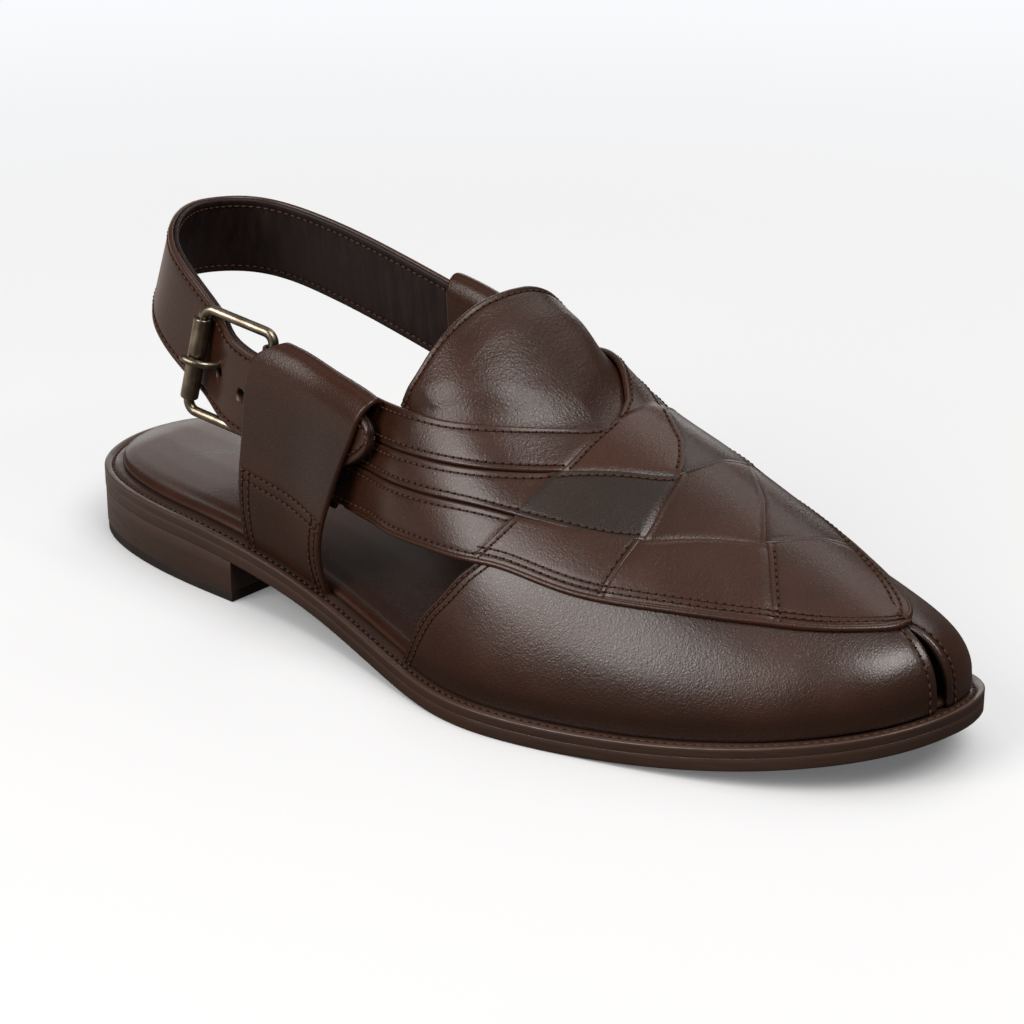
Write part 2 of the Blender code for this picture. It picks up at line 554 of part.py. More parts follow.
# ---- chape: the leather loop that holds the pivot bar, its two ends inside the tab ------------------
CHAPE = 1.0
wrap = WIRE + .35 + CHAPE / 2
angle = np.radians(np.linspace(70, -70, 9))
turn = np.stack([-HALF_LONG + wrap * np.cos(angle), wrap * np.sin(angle)], -1)
outer_end = np.array([(-29, 6.3), (-24, 5.1), (-19, 3.9), (-15, 2.9)])
inner_end = np.array([(-14.5, -1.6), (-17, .8), (-19.5, 2.7), (-24, 3.8), (-29, 5.0)])
profile = np.vstack([outer_end, turn, inner_end])
grid = np.stack([local(np.c_[profile[:, 0], np.full(len(profile), y), profile[:, 1]])
                 for y in (-12, -6, 0, 6, 12)], 1)
chape = grid_solid("buckle_chape", *thicken(grid, CHAPE / 2), leather)
boolean(chape, box_cutter("prong_slot", -16.5, -6, 1.5, -6, 6), "DIFFERENCE")

bpy.context.view_layer.update()
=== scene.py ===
"""Looks of the Peshawari chappal: every leather piece, stitch and metal part, in the order of making.

Sizes are in shoe millimetres: s runs from the heel to the toe, q is lateral (+) or medial (-), z is up.
"""

import bpy
import numpy as np
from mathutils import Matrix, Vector


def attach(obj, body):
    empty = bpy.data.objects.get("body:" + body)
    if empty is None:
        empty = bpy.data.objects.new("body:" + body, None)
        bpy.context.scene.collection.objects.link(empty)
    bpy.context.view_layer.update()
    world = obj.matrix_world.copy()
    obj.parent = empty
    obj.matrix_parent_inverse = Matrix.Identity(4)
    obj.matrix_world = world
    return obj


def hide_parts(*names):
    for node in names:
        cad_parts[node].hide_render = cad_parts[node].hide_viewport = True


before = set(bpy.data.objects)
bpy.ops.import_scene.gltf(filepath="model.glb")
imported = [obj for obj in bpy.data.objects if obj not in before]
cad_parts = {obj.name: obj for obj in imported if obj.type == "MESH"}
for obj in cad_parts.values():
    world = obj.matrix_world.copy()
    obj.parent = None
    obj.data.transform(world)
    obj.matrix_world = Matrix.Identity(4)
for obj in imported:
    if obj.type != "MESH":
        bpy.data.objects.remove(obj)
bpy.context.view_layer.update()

# ---- outsole and welt ----------------------------------------------------------------------------
# A leather outsole and a welt layer, cut together to the shoe's outline and sewn through. Their
# edges are stained, waxed and rubbed in one with the heel's, so only fine joint lines show.
CENTRE_S, CENTRE_Q = 152.3, 5.0    # the origin, in shoe sizes
SOLE, WELT, STACK, GAP = 3.4, 2.8, 6.5, 0.3
HEEL_RISE, TOE_SPRING = 14.0, 12.4
SEAT_END, BALL_FROM, BALL_TO, TOE = 60.0, 185.0, 212.0, 302.0
WHOLE = 400.0     # last station of a layer as long as the shoe
WELT_ROW = 2.6    # the welt's stitches, from its edge
EDGE = [(2, -1), (5, 12), (14, 25), (35, 35.5), (75, 41), (115, 43), (155, 51.5), (190, 58), (222, 52),
        (252, 42.5), (279, 29.5), (296, 14), (302.5, -4), (300, -19), (283, -33), (252, -41), (222, -47),
        (190, -46.5), (155, -38), (115, -31.5), (75, -31), (35, -33.5), (12, -26.5), (3.5, -14)]
# the third colour is a painted highlight for the lit top of the edges
SOLE_BROWN, SOLE_HIGHLIGHT, SOLE_DARK = (.045, .0215, .0140), (.078, .042, .029), (.012, .0065, .0045)


def spline(xs, ys):
    """Natural cubic spline through the stations, held at its end values beyond them."""
    xs = np.asarray(xs, float)
    ys = np.asarray(ys, float)
    n = len(xs)
    h = np.diff(xs)
    a = np.eye(n)
    b = np.zeros(ys.shape)
    for i in range(1, n - 1):
        a[i, i - 1:i + 2] = h[i - 1], 2 * (h[i - 1] + h[i]), h[i]
        b[i] = 6 * ((ys[i + 1] - ys[i]) / h[i] - (ys[i] - ys[i - 1]) / h[i - 1])
    m = np.linalg.solve(a, b)

    def at(x):
        x = np.clip(np.asarray(x, float), xs[0], xs[-1])
        i = np.clip(np.searchsorted(xs, x) - 1, 0, n - 2)
        t, r, k = x - xs[i], xs[i + 1] - x, h[i]
        if ys.ndim > 1:
            t, r, k = t[..., None], r[..., None], k[..., None]
        return ((m[i] * r ** 3 + m[i + 1] * t ** 3) / (6 * k)
                + (ys[i] / k - m[i] * k / 6) * r + (ys[i + 1] / k - m[i + 1] * k / 6) * t)
    return at


def along(points):
    """Distance along a line of points, starting at 0."""
    return np.r_[0, np.cumsum(np.linalg.norm(np.diff(points, axis=0), axis=1))]


def smooth(x):
    """From 0 to 1 with soft ends."""
    x = np.clip(x, 0, 1)
    return x * x * (3 - 2 * x)


def outline(inset, n=1440):
    """The sole's edge as a closed ring of (s, q), moved inwards."""
    ring = np.array(EDGE * 3 + EDGE[:1], float)
    d = along(ring)
    f = spline(d, ring)
    t = np.linspace(d[len(EDGE)], d[2 * len(EDGE)], n + 1)[:-1]
    tangent = f(t + .01) - f(t - .01)
    tangent /= np.linalg.norm(tangent, axis=1)[:, None]
    return f(t) + inset * np.stack([tangent[:, 1], -tangent[:, 0]], -1)


def sole_top(s):
    """Height of the welt's top: level seat, arch down to the ball, toe spring."""
    s = np.asarray(s, float)
    arch = smooth((BALL_FROM - s) / (BALL_FROM - SEAT_END))
    spring = np.clip((s - BALL_TO) / (TOE - BALL_TO), 0, 1) ** 1.9
    return STACK + HEEL_RISE * arch + TOE_SPRING * spring


def edge_stations(inset, first, last, n):
    """Stations bunched towards the rounded ends, with the edge's q on both sides of each."""
    ring = outline(inset)
    low, high = ring[:, 0].min() + .004, ring[:, 0].max() - .004
    t = (1 - np.cos(np.linspace(0, 1, n) * np.pi)) / 2
    if last < high:
        t = 1 - np.cos(np.linspace(0, 1, n) * np.pi / 2)
    s = max(first, low) + (min(last, high) - max(first, low)) * t
    toe, heel = np.argmax(ring[:, 0]), np.argmin(ring[:, 0])
    ring = np.roll(ring, -heel, 0)
    k = (toe - heel) % len(ring)
    one, two = ring[:k + 1], np.vstack([ring[k:], ring[:1]])[::-1]
    lateral, medial = (one, two) if one[:, 1].mean() > two[:, 1].mean() else (two, one)
    return s, np.interp(s, lateral[:, 0], lateral[:, 1]), np.interp(s, medial[:, 0], medial[:, 1])


def in_world(points):
    """Points in shoe millimetres as points in metres, with the toe to -Y and the lateral side to -X."""
    p = np.asarray(points, float).reshape(-1, 3)
    return np.stack([CENTRE_Q - p[:, 1], CENTRE_S - p[:, 0], p[:, 2]], -1) * .001


def new_piece(name, points, faces, finish, **fields):
    """A smooth-shaded object from points in shoe millimetres, its faces turned outwards."""
    world = in_world(points)
    faces = [tuple(int(i) for i in f) for f in faces]
    fans = np.array([(f[0], f[i], f[i + 1]) for f in faces for i in range(1, len(f) - 1)])
    tri = world[fans]
    if np.einsum("ij,ij->i", tri[:, 0], np.cross(tri[:, 1], tri[:, 2])).sum() < 0:
        faces = [f[::-1] for f in faces]
    mesh = bpy.data.meshes.new(name)
    mesh.from_pydata(world.tolist(), [], faces)
    mesh.polygons.foreach_set("use_smooth", np.ones(len(mesh.polygons), bool))
    mesh.materials.append(finish)
    for field, values in fields.items():
        layer = mesh.attributes.new(field, "FLOAT", "POINT")
        layer.data.foreach_set("value", np.broadcast_to(values, len(world)).astype(np.float32).ravel())
    obj = bpy.data.objects.new(name, mesh)
    bpy.context.collection.objects.link(obj)
    return obj


def ring_faces(rings, n, looped=False):
    """Faces between neighbouring rings of n points, and from the last ring to the first where looped."""
    return [(i * n + j, i * n + (j + 1) % n, (i + 1) % rings * n + (j + 1) % n, (i + 1) % rings * n + j)
            for i in range(rings if looped else rings - 1) for j in range(n)]


def node(tree, kind, inputs=(), **settings):
    """A node with its settings; an input is a value or another node's output."""
    made = tree.nodes.new(kind)
    for key, value in settings.items():
        setattr(made, key, value)
    for key, value in dict(inputs).items():
        if isinstance(value, bpy.types.NodeSocket):
            tree.links.new(value, made.inputs[key])
        else:
            made.inputs[key].default_value = value
    return made


def math(tree, operation, a, b=0.0, clamp=False):
    return node(tree, "ShaderNodeMath", {0: a, 1: b}, operation=operation, use_clamp=clamp).outputs[0]


def blend_colour(tree, factor, a, b):
    made = node(tree, "ShaderNodeMix", {0: factor}, data_type="RGBA")
    for slot, value in ((6, a), (7, b)):
        if isinstance(value, bpy.types.NodeSocket):
            tree.links.new(value, made.inputs[slot])
        else:
            made.inputs[slot].default_value = (*value, 1)
    return made.outputs[2]


def ramp(tree, value, low, high, start=0.0, end=1.0):
    """A value between low and high, spread smoothly from start to end."""
    return node(tree, "ShaderNodeMapRange", {0: value, 1: low, 2: high, 3: start, 4: end},
                interpolation_type="SMOOTHSTEP").outputs[0]


def noise(tree, where, scale, detail=3.0, roughness=.55):
    return node(tree, "ShaderNodeTexNoise", {"Vector": where, "Scale": scale, "Detail": detail,
                                             "Roughness": roughness}).outputs["Fac"]


def stretched(tree, where, scale):
    return node(tree, "ShaderNodeMapping", {"Vector": where, "Scale": scale}).outputs[0]


def bumped(tree, height, strength, distance):
    return node(tree, "ShaderNodeBump", {"Height": height, "Strength": strength,
                                         "Distance": distance}).outputs[0]


def stored(tree, name):
    """A value that the piece carries at each of its points."""
    return node(tree, "ShaderNodeAttribute", attribute_name=name).outputs["Fac"]


def effect(name, values, results):
    """A node group without nodes: coordinates and named values in, results of named kinds out."""
    group = bpy.data.node_groups.new(name, "ShaderNodeTree")
    group.interface.new_socket("Coordinates", in_out="INPUT", socket_type="NodeSocketVector")
    for label, value in values.items():
        group.interface.new_socket(label, in_out="INPUT", socket_type="NodeSocketFloat").default_value = value
    for label, kind in results.items():
        group.interface.new_socket(label, in_out="OUTPUT", socket_type="NodeSocket" + kind)
    return group, group.nodes.new("NodeGroupInput").outputs, group.nodes.new("NodeGroupOutput").inputs


def use(tree, group, inputs):
    return node(tree, "ShaderNodeGroup", inputs, node_tree=group).outputs


def finish_of(name, **plain):
    """A material, its tree, its shader and the piece's own coordinates."""
    made = bpy.data.materials.new(name)
    made.use_nodes = True
    tree = made.node_tree
    shader = tree.nodes["Principled BSDF"]
    for key, value in plain.items():
        shader.inputs[key.replace("_", " ")].default_value = value
    where = node(tree, "ShaderNodeTexCoord").outputs["Object"]
    return made, tree, shader, where


def dress(shader, **looks):
    """Links each look to the shader's socket of that name."""
    for socket, value in looks.items():
        shader.id_data.links.new(value, shader.inputs[socket.replace("_", " ")])


# wear: dark handled patches and small scuffs, shared by the waxed edges, the rubber and the bronze
wear, given, out = effect("wear", {"Patch Scale": 30.0}, {"Patches": "Float", "Scuffs": "Float"})
patches = noise(wear, given["Coordinates"], given["Patch Scale"], 4.0, .6)
wear.links.new(ramp(wear, patches, .38, .64), out["Patches"])
scuffs = noise(wear, stretched(wear, given["Coordinates"], (1, 1, 9)), 160.0, 5.0, .7)
wear.links.new(ramp(wear, scuffs, .55, .78), out["Scuffs"])

waxed_edge, tree, shader, where = finish_of("waxed_edge", Roughness=.42, Coat_Weight=.25, Coat_Roughness=.28)
worn = use(tree, wear, {"Coordinates": where, "Patch Scale": 26.0})
lines = noise(tree, stretched(tree, where, (.12, .12, 1)), 900.0, 3.0, .6)
colour = blend_colour(tree, worn["Patches"], SOLE_BROWN, tuple(c * .72 for c in SOLE_BROWN))
colour = blend_colour(tree, ramp(tree, lines, .5, .8, 0, .5), colour, SOLE_DARK)
# painted highlight: the edge's top is lightened as far as the profile marks it lit
colour = blend_colour(tree, math(tree, "MULTIPLY", stored(tree, "lip"), .75), colour, SOLE_HIGHLIGHT)
height = math(tree, "ADD", lines, math(tree, "MULTIPLY", noise(tree, where, 700.0), .4))
dress(shader, Base_Color=colour, Roughness=ramp(tree, lines, .3, .8, .36, .56),
      Normal=bumped(tree, height, .5, .0002))


def sole_layer(name, inset, last, top, bottom, profile, finish, n=210):
    """A layer of the sole; its profile lists (inset, height share, painted lip highlight) from top to bottom.
    """
    rings, bright = [], []
    for extra, share, lit in profile:
        s, lateral, medial = edge_stations(inset + extra, 0, last - extra, n)
        s = np.r_[s, s[::-1]]
        z = bottom(s) + (top(s) - bottom(s)) * share
        rings.append(np.stack([s, np.r_[lateral, medial[::-1]], z], -1))
        bright.append(np.full(2 * n, lit))
    faces = ring_faces(len(profile), 2 * n)
    end = (len(profile) - 1) * 2 * n
    for i in range(n - 1):
        faces.append((2 * n - 1 - i, 2 * n - 2 - i, i + 1, i))
        faces.append((end + i, end + i + 1, end + 2 * n - 2 - i, end + 2 * n - 1 - i))
    piece = new_piece(name, np.concatenate(rings), faces, finish, lip=np.concatenate(bright))
    piece.data.set_sharp_from_angle(angle=np.radians(60))
    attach(piece, "root")
    return piece


def rounded(thick, radius, groove=None, below=None):
    """Profile of a layer's edge: rounded at the top and bottom, with the top's sewn groove if it has one."""
    turn = np.radians([0, 22, 45, 68, 90])
    top = [(radius * (1 - np.sin(t)), 1 - radius * (1 - np.cos(t)) / thick, .9) for t in turn]
    side = [(0, share, .15) for share in (.62, .38)]
    under = below or radius
    low = [(under * (1 - np.sin(t)), under * (1 - np.cos(t)) / thick, .1) for t in turn[::-1]]
    inner = groove or [(9, 1, .2), (radius + .5, 1, .6)]
    return inner + top + side + low + [(under + .5, 0, 0), (9, 0, 0)]


# the welt's top, with the channel in which its stitches lie
CHANNEL = [(9, 1, 0), (4.6, 1, 0), (3.5, .96, 0), (3.1, .86, 0), (WELT_ROW, .80, 0), (2.1, .86, .1),
           (1.75, .97, .5), (1.3, 1, .8)]
welt = sole_layer("welt_layer", 0, WHOLE, sole_top, lambda s: sole_top(s) - WELT,
                  rounded(WELT, .5, CHANNEL, .1), waxed_edge)
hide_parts("welt")
outsole = sole_layer("leather_outsole", 0, WHOLE, lambda s: sole_top(s) - WELT - GAP + .28,
                     lambda s: sole_top(s) - STACK, rounded(SOLE, .1, None, .45), waxed_edge)
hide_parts("outsole")

# ---- heel ----------------------------------------------------------------------------------------
# Stacked leather lifts, trimmed and waxed flush with the sole's edge, over a black rubber top lift
# that is nailed on last and stays a little darker.
LIFT, HEEL_STACK, BREAST = 3.0, 11.5, 86.0
heel = sole_layer("stacked_heel", .12, BREAST, lambda s: sole_top(s) - STACK - .02,
                  lambda s: 0 * s + LIFT + .02, rounded(HEEL_STACK, .22), waxed_edge, 120)
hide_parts("heel_block")

rubber, tree, shader, where = finish_of("top_lift_rubber", Roughness=.6, Specular_IOR_Level=.35)
worn = use(tree, wear, {"Coordinates": where, "Patch Scale": 60.0})
dress(shader, Base_Color=blend_colour(tree, worn["Patches"], (.030, .021, .018), (.020, .016, .014)),
      Normal=bumped(tree, noise(tree, where, 2500.0), .4, .0001))
lift = sole_layer("rubber_top_lift", .3, BREAST, lambda s: 0 * s + LIFT, lambda s: 0 * s,
                  rounded(LIFT, .35), rubber, 120)
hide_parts("heel_lift")

# ---- footbed -------------------------------------------------------------------------------------
# Smooth leather drawn over thin foam and turned under at its rim: highest under the heel's middle,
# with a soft roll along the edge.
MARGIN = 5.0
LEATHER_BROWN, LEATHER_RED, LEATHER_DARK = (.041, .0135, .0058), (.061, .0185, .0075), (.013, .0045, .0025)
REDDER, GREYER, CUT_EDGE = (.075, .0215, .0085), (.028, .0195, .0145), (.066, .028, .017)

# leather grain: pebbles divided by fine creases, broken up by finer pores
grain, given, out = effect("leather_grain", {"Pebbles": 1100.0, "Depth": .5},
                           {"Normal": "Vector", "Creases": "Float"})
where = given["Coordinates"]
bend = node(grain, "ShaderNodeTexNoise", {"Vector": where, "Scale": 260.0, "Detail": 2.0}).outputs["Color"]
bend = node(grain, "ShaderNodeVectorMath", {0: bend, "Scale": .0016}, operation="SCALE").outputs[0]
bend = node(grain, "ShaderNodeVectorMath", {0: where, 1: bend}, operation="ADD").outputs[0]
cells = node(grain, "ShaderNodeTexVoronoi", {"Vector": bend, "Scale": given["Pebbles"]},
             feature="DISTANCE_TO_EDGE").outputs["Distance"]
creases = ramp(grain, cells, 0.0, .42)
pores = noise(grain, where, 1000.0, 3.0, .62)
waves = noise(grain, where, 150.0, 3.0)
height = math(grain, "ADD", math(grain, "MULTIPLY", creases, .4), math(grain, "MULTIPLY", pores, 1.4))
height = math(grain, "ADD", height, math(grain, "MULTIPLY", waves, .8))
grain.links.new(bumped(grain, height, given["Depth"], .00016), out["Normal"])
grain.links.new(creases, out["Creases"])

# leather tone: antiqued brown, redder or greyer by tint, dark in the grain, darker by painted shade where
# the piece marks it, lighter along its cut edges
tone, given, out = effect("leather_tone", {"Edge": 9.0, "Tint": 0.0, "Burnish": 0.0, "Creases": 1.0},
                          {"Color": "Color", "Roughness": "Float"})
cloudy = noise(tone, given["Coordinates"], 38.0, 3.0)
colour = blend_colour(tone, ramp(tone, cloudy, .35, .68), LEATHER_BROWN, LEATHER_RED)
colour = blend_colour(tone, math(tone, "MAXIMUM", given["Tint"], 0.0, True), colour, REDDER)
colour = blend_colour(tone, math(tone, "MULTIPLY", given["Tint"], -1.0, True), colour, GREYER)
speckle = noise(tone, given["Coordinates"], 900.0, 2.0)
colour = blend_colour(tone, ramp(tone, speckle, .5, .8, 0, .35), colour, LEATHER_DARK)
in_creases = math(tone, "SUBTRACT", 1.0, given["Creases"])
colour = blend_colour(tone, math(tone, "MULTIPLY", in_creases, .45), colour, LEATHER_DARK)
rim = ramp(tone, given["Edge"], .1, .9, 1, 0)
colour = blend_colour(tone, math(tone, "MULTIPLY", rim, .35), colour, CUT_EDGE)
# painted shade: darkened towards LEATHER_DARK where the piece carries its painted shade value
colour = blend_colour(tone, math(tone, "MULTIPLY", given["Burnish"], .8, True), colour, LEATHER_DARK)
tone.links.new(colour, out["Color"])
tone.links.new(math(tone, "ADD", ramp(tone, cloudy, .3, .7, -.03, .04),
                    ramp(tone, given["Creases"], 0, 1, .36, .275)), out["Roughness"])


def leather(name, pebbles, depth, shine, **plain):
    """An antiqued brown leather with grain of its own size and depth."""
    made, tree, shader, where = finish_of(name, Coat_Weight=shine, Coat_Roughness=.24, **plain)
    grained = use(tree, grain, {"Coordinates": where, "Pebbles": pebbles, "Depth": depth})
    # the stored attribute in the last input carries the piece's painted shade into the tone
    toned = use(tree, tone, {"Coordinates": where, "Edge": stored(tree, "edge"), "Tint": stored(tree, "tint"),
                             "Burnish": stored(tree, "burnish"), "Creases": grained["Creases"]})
    dress(shader, Base_Color=toned["Color"], Roughness=toned["Roughness"], Normal=grained["Normal"])
    return made


def reach(points, axis):
    """Distance from the first row or column, along the piece."""
    step = np.linalg.norm(np.diff(points, axis=axis), axis=-1)
    pad = [(0, 0), (0, 0)]
    pad[axis] = (1, 0)
    return np.pad(np.cumsum(step, axis=axis), pad)


def spread(total, near, n):
    """Places across a piece: close together near both edges, even between."""
    first = np.asarray(near) * np.minimum(1, total / (2.4 * near[-1]))[:, None]
    even = np.linspace(0, 1, n - 2 * len(near) + 2)[1:-1]
    middle = first[:, -1:] + (total[:, None] - 2 * first[:, -1:]) * even
    return np.hstack([first, middle, total[:, None] - first[:, ::-1]])


ROUND_EDGE = .8
NEAR_EDGE = [0, .03, .11, .23, .40, .59, .8, 1.05, 1.35, 1.7, 2.0, 2.3, 2.7, 3.4, 4.3]


def panel(name, middle, n, m, thick, finish, relief=None, tint=None, core=(None, -3, 12), rounding=ROUND_EDGE,
          face=1, burnish=None):
    """A leather piece with rounded edges. middle(a, b) is the middle of its thickness, a lengthways and
    b across; relief(edges, a, b) raises or sinks its good face, which is turned away from the core, or
    towards it where face is -1. tint colours it, and the last argument darks it as painted shade. It
    gives the object and its measures."""
    coarse = np.linspace(0, 1, 61)
    ca, cb = np.meshgrid(coarse, coarse, indexing="ij")
    p = middle(ca, cb)
    lengths, widths = reach(p, 0), reach(p, 1)
    near = np.array(NEAR_EDGE) * rounding / ROUND_EDGE
    b_at = np.array([np.interp(x, w, coarse) for x, w in zip(spread(widths[:, -1], near, m), widths)])
    a_at = np.array([np.interp(x, w, coarse) for x, w in zip(spread(lengths[-1], near, n), lengths.T)]).T
    row = a_at.mean(1)
    b = np.array([np.interp(row, coarse, column) for column in b_at.T]).T
    a = np.array([np.interp(b[i], coarse, a_at[i]) for i in range(n)])
    p = middle(a, b)
    rear, left = reach(p, 0), reach(p, 1)
    edges = {"rear": rear, "front": rear[-1] - rear, "left": left, "right": left[:, -1:] - left}
    normal = np.cross(np.gradient(p, axis=0), np.gradient(p, axis=1))
    normal /= np.maximum(np.linalg.norm(normal, axis=-1, keepdims=True), 1e-9)
    inside = p.copy()
    for k, value in enumerate(core):
        if value is not None:
            inside[..., k] = value
    normal *= face * np.sign(((p - inside) * normal).sum(-1).mean())
    lean = np.ones(p.shape[:2])
    for distance in edges.values():
        lean = lean * np.sqrt(np.clip(1 - (1 - np.clip(distance / rounding, 0, 1)) ** 2, 0, 1))
    half = thick / 2 * lean
    raised = (relief(edges, a, b) if relief else 0 * half) * lean
    top, bottom = p + normal * (half + raised)[..., None], p - normal * half[..., None]
    upper = np.arange(n * m).reshape(n, m)
    lower = upper.copy()
    lower[1:-1, 1:-1] = n * m + np.arange((n - 2) * (m - 2)).reshape(n - 2, m - 2)
    faces = []
    for grid, way in ((upper, 1), (lower, -1)):
        quads = np.stack([grid[:-1, :-1], grid[1:, :-1], grid[1:, 1:], grid[:-1, 1:]], -1).reshape(-1, 4)
        faces += quads[:, ::way].tolist()
    edge = np.minimum.reduce(list(edges.values()))
    shade = np.broadcast_to(tint(a, b) if callable(tint) else (tint or 0.0), (n, m))
    # painted shade, from the piece's own function of where shade falls
    dark = np.broadcast_to(burnish(edges, a, b) if burnish else 0.0, (n, m))
    points = np.concatenate([top.reshape(-1, 3), bottom[1:-1, 1:-1].reshape(-1, 3)])
    edge, shade, dark = (np.concatenate([grid.ravel(), grid[1:-1, 1:-1].ravel()])
                         for grid in (edge, shade, dark))
    piece = new_piece(name, points, faces, finish, edge=edge, tint=shade, burnish=dark)
    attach(piece, "root")
    return piece, dict(edges, top=top, normal=normal, a=a, b=b)


def dent(x, where, wide, deep):
    """A soft trough at one distance."""
    return -deep * np.exp(-((x - where) / wide) ** 2)


def long_rim(edges):
    """Distance from the nearer of a piece's two long edges."""
    return np.minimum(edges["left"], edges["right"])


footbed_leather = leather("footbed_leather", 1700.0, .12, .10, Specular_IOR_Level=.42)
s_at, lateral_at, medial_at = edge_stations(MARGIN + .6, 0, WHOLE, 400)


def footbed_crown(a, b):
    """The station, and half the height by which the foam lifts the footbed there."""
    s = s_at[0] + (s_at[-1] - s_at[0]) * (1 - np.cos(a * np.pi)) / 2
    off = np.abs(np.cos(b * np.pi))
    rise = np.interp(off, [0, .24, .56, .80, .93, 1], [3.6, 3.6, 3.3, 2.9, 2.3, 1.2])
    ends = np.clip(np.minimum(s - s_at[0], s_at[-1] - s) / 9, 0, 1) ** .5
    return s, (rise - .9) * (.35 + .65 * ends) * .5


def footbed(a, b):
    """The footbed's middle: across from the lateral to the medial side, along from heel to toe."""
    s, crown = footbed_crown(a, b)
    lateral, medial = np.interp(s, s_at, lateral_at), np.interp(s, s_at, medial_at)
    q = (lateral + medial) / 2 + (lateral - medial) / 2 * np.cos(b * np.pi)
    return np.stack([s, q, sole_top(s) + GAP + .1 + crown], -1)


def footbed_relief(edges, a, b):
    """The foam's crown, and the soft roll along the rim."""
    s, crown = footbed_crown(a, b)
    return crown + dent(long_rim(edges), 4.6, 1.6, .35) * smooth((s - 30) / 60) - .1


insole, _ = panel("padded_footbed", footbed, 150, 66, 1.6, footbed_leather, footbed_relief,
                  core=(None, None, 0), rounding=1.2)
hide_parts("insole")

# ---- thread --------------------------------------------------------------------------------------
# Waxed brown thread, sewn in rows: each stitch is a short grain that dips into a hole at both ends;
# each hole is a flat dark disc of painted shade.
thread_brown, tree, shader, where = finish_of("waxed_thread", Roughness=.55, Specular_IOR_Level=.25)
twist = node(tree, "ShaderNodeTexWave", {"Vector": where, "Scale": 900.0, "Distortion": 1.5}).outputs["Fac"]
dress(shader, Base_Color=blend_colour(tree, twist, (.042, .016, .0085), (.088, .038, .021)),
      Normal=bumped(tree, twist, .5, .0001))
# painted shade: the colour of the dark discs that stand for the awl holes
awl_hole, tree, shader, where = finish_of("awl_hole", Roughness=.8, Specular_IOR_Level=.1)
dress(shader, Base_Color=blend_colour(tree, noise(tree, where, 2000.0),
                                      (.008, .005, .004), (.016, .010, .008)))

seam = bpy.data.node_groups.new("sewn_row", "GeometryNodeTree")
seam.interface.new_socket("Rows", in_out="INPUT", socket_type="NodeSocketGeometry")
for label in ("Stitch Pitch", "Stitch Length", "Thread Thickness", "Hole Size"):
    seam.interface.new_socket(label, in_out="INPUT", socket_type="NodeSocketFloat")
seam.interface.new_socket("Sewn", in_out="OUTPUT", socket_type="NodeSocketGeometry")
given, out = seam.nodes.new("NodeGroupInput").outputs, seam.nodes.new("NodeGroupOutput").inputs


def step(kind, inputs=(), **settings):
    """The first output of a new node of the sewing tree."""
    return node(seam, kind, inputs, **settings).outputs[0]


rows = step("GeometryNodeMeshToCurve", {0: given["Rows"]})
rows = step("GeometryNodeResampleCurve", {"Curve": rows, "Length": given["Stitch Pitch"]}, mode="LENGTH")
outward = step("GeometryNodeInputNamedAttribute", {"Name": "outward"}, data_type="FLOAT_VECTOR")
turn = step("FunctionNodeAxesToRotation",
            {"Primary Axis": outward, "Secondary Axis": step("GeometryNodeInputTangent")},
            primary_axis="Z", secondary_axis="X")
size = step("ShaderNodeCombineXYZ", {0: given["Stitch Length"], 1: given["Thread Thickness"],
                                     2: given["Thread Thickness"]})
stitch = step("GeometryNodeMeshUVSphere", {"Segments": 8, "Rings": 6, "Radius": .5})
stitch = step("GeometryNodeTransform", {"Geometry": stitch, "Scale": size})
between = step("ShaderNodeCombineXYZ", {0: math(seam, "MULTIPLY", given["Stitch Pitch"], .5)})
size = step("ShaderNodeCombineXYZ", {0: given["Hole Size"], 1: given["Hole Size"], 2: .0002})
# a flat dark disc between stitches, painted as the shade inside an awl hole
dot = step("GeometryNodeMeshUVSphere", {"Segments": 8, "Rings": 4, "Radius": .5})
dot = step("GeometryNodeTransform", {"Geometry": dot, "Translation": between, "Scale": size})
dot = step("GeometryNodeStoreNamedAttribute", {"Geometry": dot, "Name": "hole", "Value": True},
           data_type="BOOLEAN", domain="FACE")
both = seam.nodes.new("GeometryNodeJoinGeometry")
seam.links.new(dot, both.inputs[0])
seam.links.new(stitch, both.inputs[0])
sewn = step("GeometryNodeInstanceOnPoints", {"Points": rows, "Instance": both.outputs[0], "Rotation": turn})
sewn = step("GeometryNodeRealizeInstances", {"Geometry": sewn})
sewn = step("GeometryNodeSetShadeSmooth", {"Geometry": sewn})
sewn = step("GeometryNodeSetMaterial", {"Geometry": sewn, "Material": thread_brown})
in_hole = step("GeometryNodeInputNamedAttribute", {"Name": "hole"}, data_type="BOOLEAN")
sewn = step("GeometryNodeSetMaterial", {"Geometry": sewn, "Selection": in_hole, "Material": awl_hole})
seam.links.new(sewn, out["Sewn"])
SEAM_INPUTS = {item.name: item.identifier for item in seam.interface.items_tree if item.in_out == "INPUT"}


